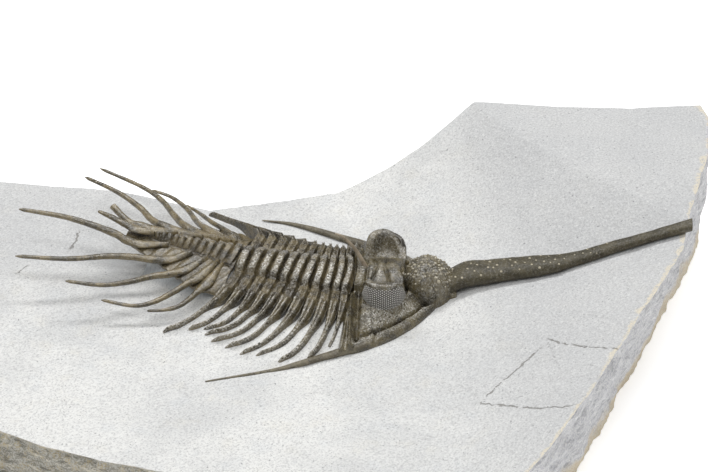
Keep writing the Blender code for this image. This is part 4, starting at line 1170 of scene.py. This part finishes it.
TAIL_RINGS = 13
AXIS_END = -45.5
RIGHT_SPINES = (
    ((-27.4, 4, 6.8), (-29.8, 12.2, 4.6), (-32.3, 16, 3), (-34.8, 18.2, 2.8), (-38, 20.2, 3.2)),
    ((-28.5, 3.8, 7.0), (-32.3, 11, 5.4), (-34.8, 14.3, 4.4), (-37.5, 18, 4), (-41, 20.4, 4),
     (-47.5, 21.3, 4.7)),
    ((-31, 3.4, 7.2), (-35.9, 9.3, 6), (-39.9, 12, 6), (-43.8, 15.7, 6.2), (-48.5, 19, 6.7),
     (-55.1, 21.5, 8)),
    ((-34.5, 3, 7.5), (-40.2, 7, 6.9), (-45.5, 8.3, 7.3), (-50.6, 10, 7.6), (-58, 14.2, 8.2),
     (-67.8, 17.7, 9.2)),
    ((-40, 2.4, 8), (-47.8, 3.8, 7.9), (-51.5, 3.8, 9.2), (-57, 4.2, 10.8), (-63, 4.8, 12),
     (-71.9, 6.3, 13)),
)
LEFT_SPINES = (
    ((-27.4, -4, 6.8), (-31, -9, 5.4), (-36.3, -13, 4.6), (-41, -17.5, 3.4), (-45.1, -20.2, 3)),
    ((-28.5, -3.8, 7), (-35.5, -8, 6.2), (-39, -11.5, 5), (-43.4, -16.7, 4.4), (-48.3, -20.2, 4.4),
     (-53.2, -20.9, 5)),
    ((-31, -3.4, 7.2), (-39.5, -7, 6.4), (-44, -11, 6), (-49, -16, 6.1), (-55, -19.2, 6.6),
     (-65.8, -21.6, 8)),
    ((-34.5, -3, 7.5), (-43.6, -4.8, 7.2), (-47.5, -6.6, 7.1), (-51.5, -9.8, 7.5), (-58, -12.8, 8.5),
     (-66.4, -15.1, 9.4)),
    ((-40, -2.4, 8), (-47.5, -2, 8.2), (-51, -2.2, 8.7), (-55.2, -4.2, 10.5)),
)
MEDIAN_SPINE = ((-44, 0.4, 8.8), (-49.8, 0.8, 9.8), (-53.5, 0.6, 11), (-56.4, 0.7, 12))
TAIL_SPINE_STEPS = 110
TAIL_SPINE_SIDES = 20
TAIL_DARK = (0.055, 0.043, 0.022)
TAIL_OLIVE = (0.17, 0.132, 0.066)
TAIL_SPINE_DARK = (0.060, 0.047, 0.022)
TAIL_SPINE_OLIVE = (0.20, 0.155, 0.075)


def tail_axis_width(s):
    """Half the width of the ringed ridge."""
    return table(s, ((-45.5, 0.6), (-40, 1.45), (-30, 2.7), (-24.85, 3.9)))


def tail_plate():
    """A grid from margin to margin, with low ribs that slant back and a furrow beside the axis.
    Its underside is the same grid, a little lower."""
    row, share = np.meshgrid(np.linspace(TAIL_START, TAIL_END, 130), np.linspace(-1, 1, 150),
                             indexing="ij")
    t = share * tail_margin(row)
    along = tail_along(row)
    s = row - backward_sweep(t, 4.3, 20.0, 11.4) * (1 - smooth(along / 0.6))
    a = np.abs(t)
    top = tail_top(row, t)
    phase = (-row - 25.0 - 0.55 * a) / 2.6
    rib = np.abs(np.mod(phase, 1.0) - 0.5) * 2
    fade = smooth((a - 1.5) / 2.0) * (1 - smooth((along - 0.75) / 0.2))
    top = top + 0.35 * (0.5 - rib ** 1.5) * fade
    furrow = 0.5 * np.exp(-((a - tail_axis_width(s) - 0.3) / 0.45) ** 2)
    top = top - furrow * (1 - smooth((along - 0.7) / 0.15))
    place = on_slab(s, t, 0.0)
    place[..., 2] = top
    under = place[:, ::-1].copy()
    under[..., 2] = top[:, ::-1] - 0.55
    ring = np.concatenate([place, under], 1)
    number = np.arange(ring[..., 0].size).reshape(ring.shape[:2])
    return ring, [grid_faces(*number.shape, closed=True), ladder(number[0]), ladder(number[-1])]


def tail_axis():
    """The ringed, tapering middle ridge: a low arch with a swell on each ring and a sharp furrow
    behind it. The rings get shorter backwards, and the arch closes round at its end."""
    s = np.linspace(TAIL_START - 0.05, AXIS_END, 260)[:, None]
    along = (TAIL_START - s) / (TAIL_START - AXIS_END)
    across = np.concatenate([np.linspace(-1, 1, 31), np.linspace(1, -1, 5)[1:-1]])
    below = np.arange(len(across)) > 30
    width = tail_axis_width(s)
    ring = np.mod((0.75 * along + 0.25 * along ** 2) * TAIL_RINGS, 1.0)
    groove = np.exp(-((ring - 0.84) / 0.13) ** 2) * (1 - smooth((along - 0.9) / 0.08))
    arch = 1 - np.abs(across) ** 1.8
    end = np.sqrt(np.clip((1.0 - along) / 0.06, 0, 1))
    swell = 0.25 * np.sin(np.pi * np.clip(ring / 0.72, 0, 1)) - 0.85 * groove * (1 - 0.5 * along)
    rise = (1.9 - 0.7 * along) * arch + swell * (0.3 + 0.7 * arch ** 0.5)
    height = tail_axis_height(s) - 1.6 + rise * (0.2 + 0.8 * end)
    height = np.where(below, tail_axis_height(s) - 3.0, height)
    place = on_slab(s - np.abs(across) ** 2 * (1 - along), width * across, height)
    number = np.arange(place[..., 0].size).reshape(place.shape[:2])
    return place, [grid_faces(*number.shape, closed=True), ladder(number[0]), ladder(number[-1])]


def tail_spine(points, thick, blunt=False):
    """A rib and its spine in one rod through their points: a flat leaf from the axis to the
    margin, broadest past its middle, then round and tapering; a broken one ends blunt."""
    line = spline_through(points, TAIL_SPINE_STEPS)
    where = np.linspace(0, len(points) - 1.0, TAIL_SPINE_STEPS)
    outer = np.clip((where - 1) / (len(points) - 2), 0, 1)
    width = thick * table(outer, ((0, 1.15), (0.2, 1.0), (0.5, 0.85), (1, 0.9 if blunt else 0.5)))
    leaf = 1 - smooth((where - 0.62) / 0.55)
    broad = 0.45 + 0.95 * np.sin(0.5 * np.pi * np.clip(where / 0.8, 0, 1)) ** 1.3
    width = width * (1 + 0.06 * lumps(where * 3.1, points[0][0] + 0 * where, 0.5, 61))
    across = width * (1 - leaf) + broad * leaf
    high = width * 0.92 * (1 - leaf) + 0.5 * leaf
    if not blunt:
        round_tip = np.sqrt(np.clip((1 - outer) / 0.03, 0.05, 1))
        high, across = high * round_tip, across * round_tip
    centres = on_slab(line[:, 0], line[:, 1], line[:, 2] - 0.1 * leaf)
    ring, faces = rod(centres, across, high, TAIL_SPINE_SIDES)
    angle = 2 * np.pi * np.arange(TAIL_SPINE_SIDES) / TAIL_SPINE_SIDES
    fold = 0.32 * leaf[:, None] * np.abs(np.cos(angle))
    ring[..., 2] = ring[..., 2] - fold
    return ring, faces


tail_shell = make_shell("tail_shell", TAIL_DARK, TAIL_OLIVE, 0.08, 0.7)
tail_spine_shell = make_shell("tail_spine_shell", TAIL_SPINE_DARK, TAIL_SPINE_OLIVE, 0.04, 0.7)
tail_shapes = [(*tail_plate(), 0), (*tail_axis(), 0)]
for spines in (RIGHT_SPINES, LEFT_SPINES):
    for number, points in enumerate(spines, 1):
        broken = spines is LEFT_SPINES and number == 5
        tail_shapes.append((*tail_spine(points, 0.5 + 0.075 * number, broken), 1))
tail_shapes.append((*tail_spine(MEDIAN_SPINE, 0.7), 1))
tail = add_piece("tail_shield", tail_shapes, [tail_shell, tail_spine_shell], None, 50.0)
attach(tail, "root")
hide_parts("pygidium")

# The table, the light and the camera
# A plain white table, a large soft light overhead with a bright strip behind it and one in front,
# and a camera at the photograph's angle. The table's and the lights' sizes are in metres.

FLOOR_SIZE = 3.0
CAMERA_RISE = np.radians(33.0)
CAMERA_AWAY = 440.0
LENS_LENGTH = 102.9

floor_mesh = bpy.data.meshes.new("table_top")
corners = [(-FLOOR_SIZE, -FLOOR_SIZE, 0), (FLOOR_SIZE, -FLOOR_SIZE, 0), (FLOOR_SIZE, FLOOR_SIZE, 0),
           (-FLOOR_SIZE, FLOOR_SIZE, 0)]
floor_mesh.from_pydata(corners, [], [(0, 1, 2, 3)])
floor = bpy.data.objects.new("table_top", floor_mesh)
bpy.context.scene.collection.objects.link(floor)
white = Shader("white_table")
white.surface.inputs["Base Color"].default_value = (0.93, 0.93, 0.93, 1.0)
white.surface.inputs["Roughness"].default_value = 0.8
white.surface.inputs["Specular IOR Level"].default_value = 0.1
white.surface.inputs["Emission Color"].default_value = (1.0, 1.0, 1.0, 1.0)
white.surface.inputs["Emission Strength"].default_value = 0.4
floor_mesh.materials.append(white.material)


def area_light(name, place, size, power):
    """A soft rectangular light that faces the middle of the slab's underside."""
    light = bpy.data.lights.new(name, "AREA")
    light.shape = "RECTANGLE"
    light.size, light.size_y = size
    light.energy = power
    lamp = bpy.data.objects.new(name, light)
    lamp.location = place
    lamp.rotation_euler = (Vector() - lamp.location).to_track_quat("-Z", "Y").to_euler()
    bpy.context.scene.collection.objects.link(lamp)


area_light("overhead", (0.0, 0.0, 0.8), (0.6, 0.6), 1.2)
area_light("back_strip", (0.0, 0.30, 0.7), (0.9, 0.14), 4.0)
area_light("front_strip", (-0.15, -0.35, 0.7), (0.9, 0.10), 2.2)
world = bpy.data.worlds.new("room")
world.use_nodes = True
world.node_tree.nodes["Background"].inputs["Color"].default_value = (1.0, 1.0, 1.0, 1.0)
world.node_tree.nodes["Background"].inputs["Strength"].default_value = 0.25
bpy.context.scene.world = world

camera = bpy.data.objects.new("camera", bpy.data.cameras.new("camera"))
camera.data.lens = LENS_LENGTH
camera.data.sensor_width = 36.0
camera.data.clip_start = 0.01
camera.data.clip_end = 20.0
camera.location = to_part((0.0, -CAMERA_AWAY * np.cos(CAMERA_RISE), CAMERA_AWAY * np.sin(CAMERA_RISE)))
camera.rotation_euler = (np.pi / 2 - CAMERA_RISE, 0.0, 0.0)
bpy.context.scene.collection.objects.link(camera)
bpy.context.scene.camera = camera
bpy.context.scene.view_settings.view_transform = "Standard"
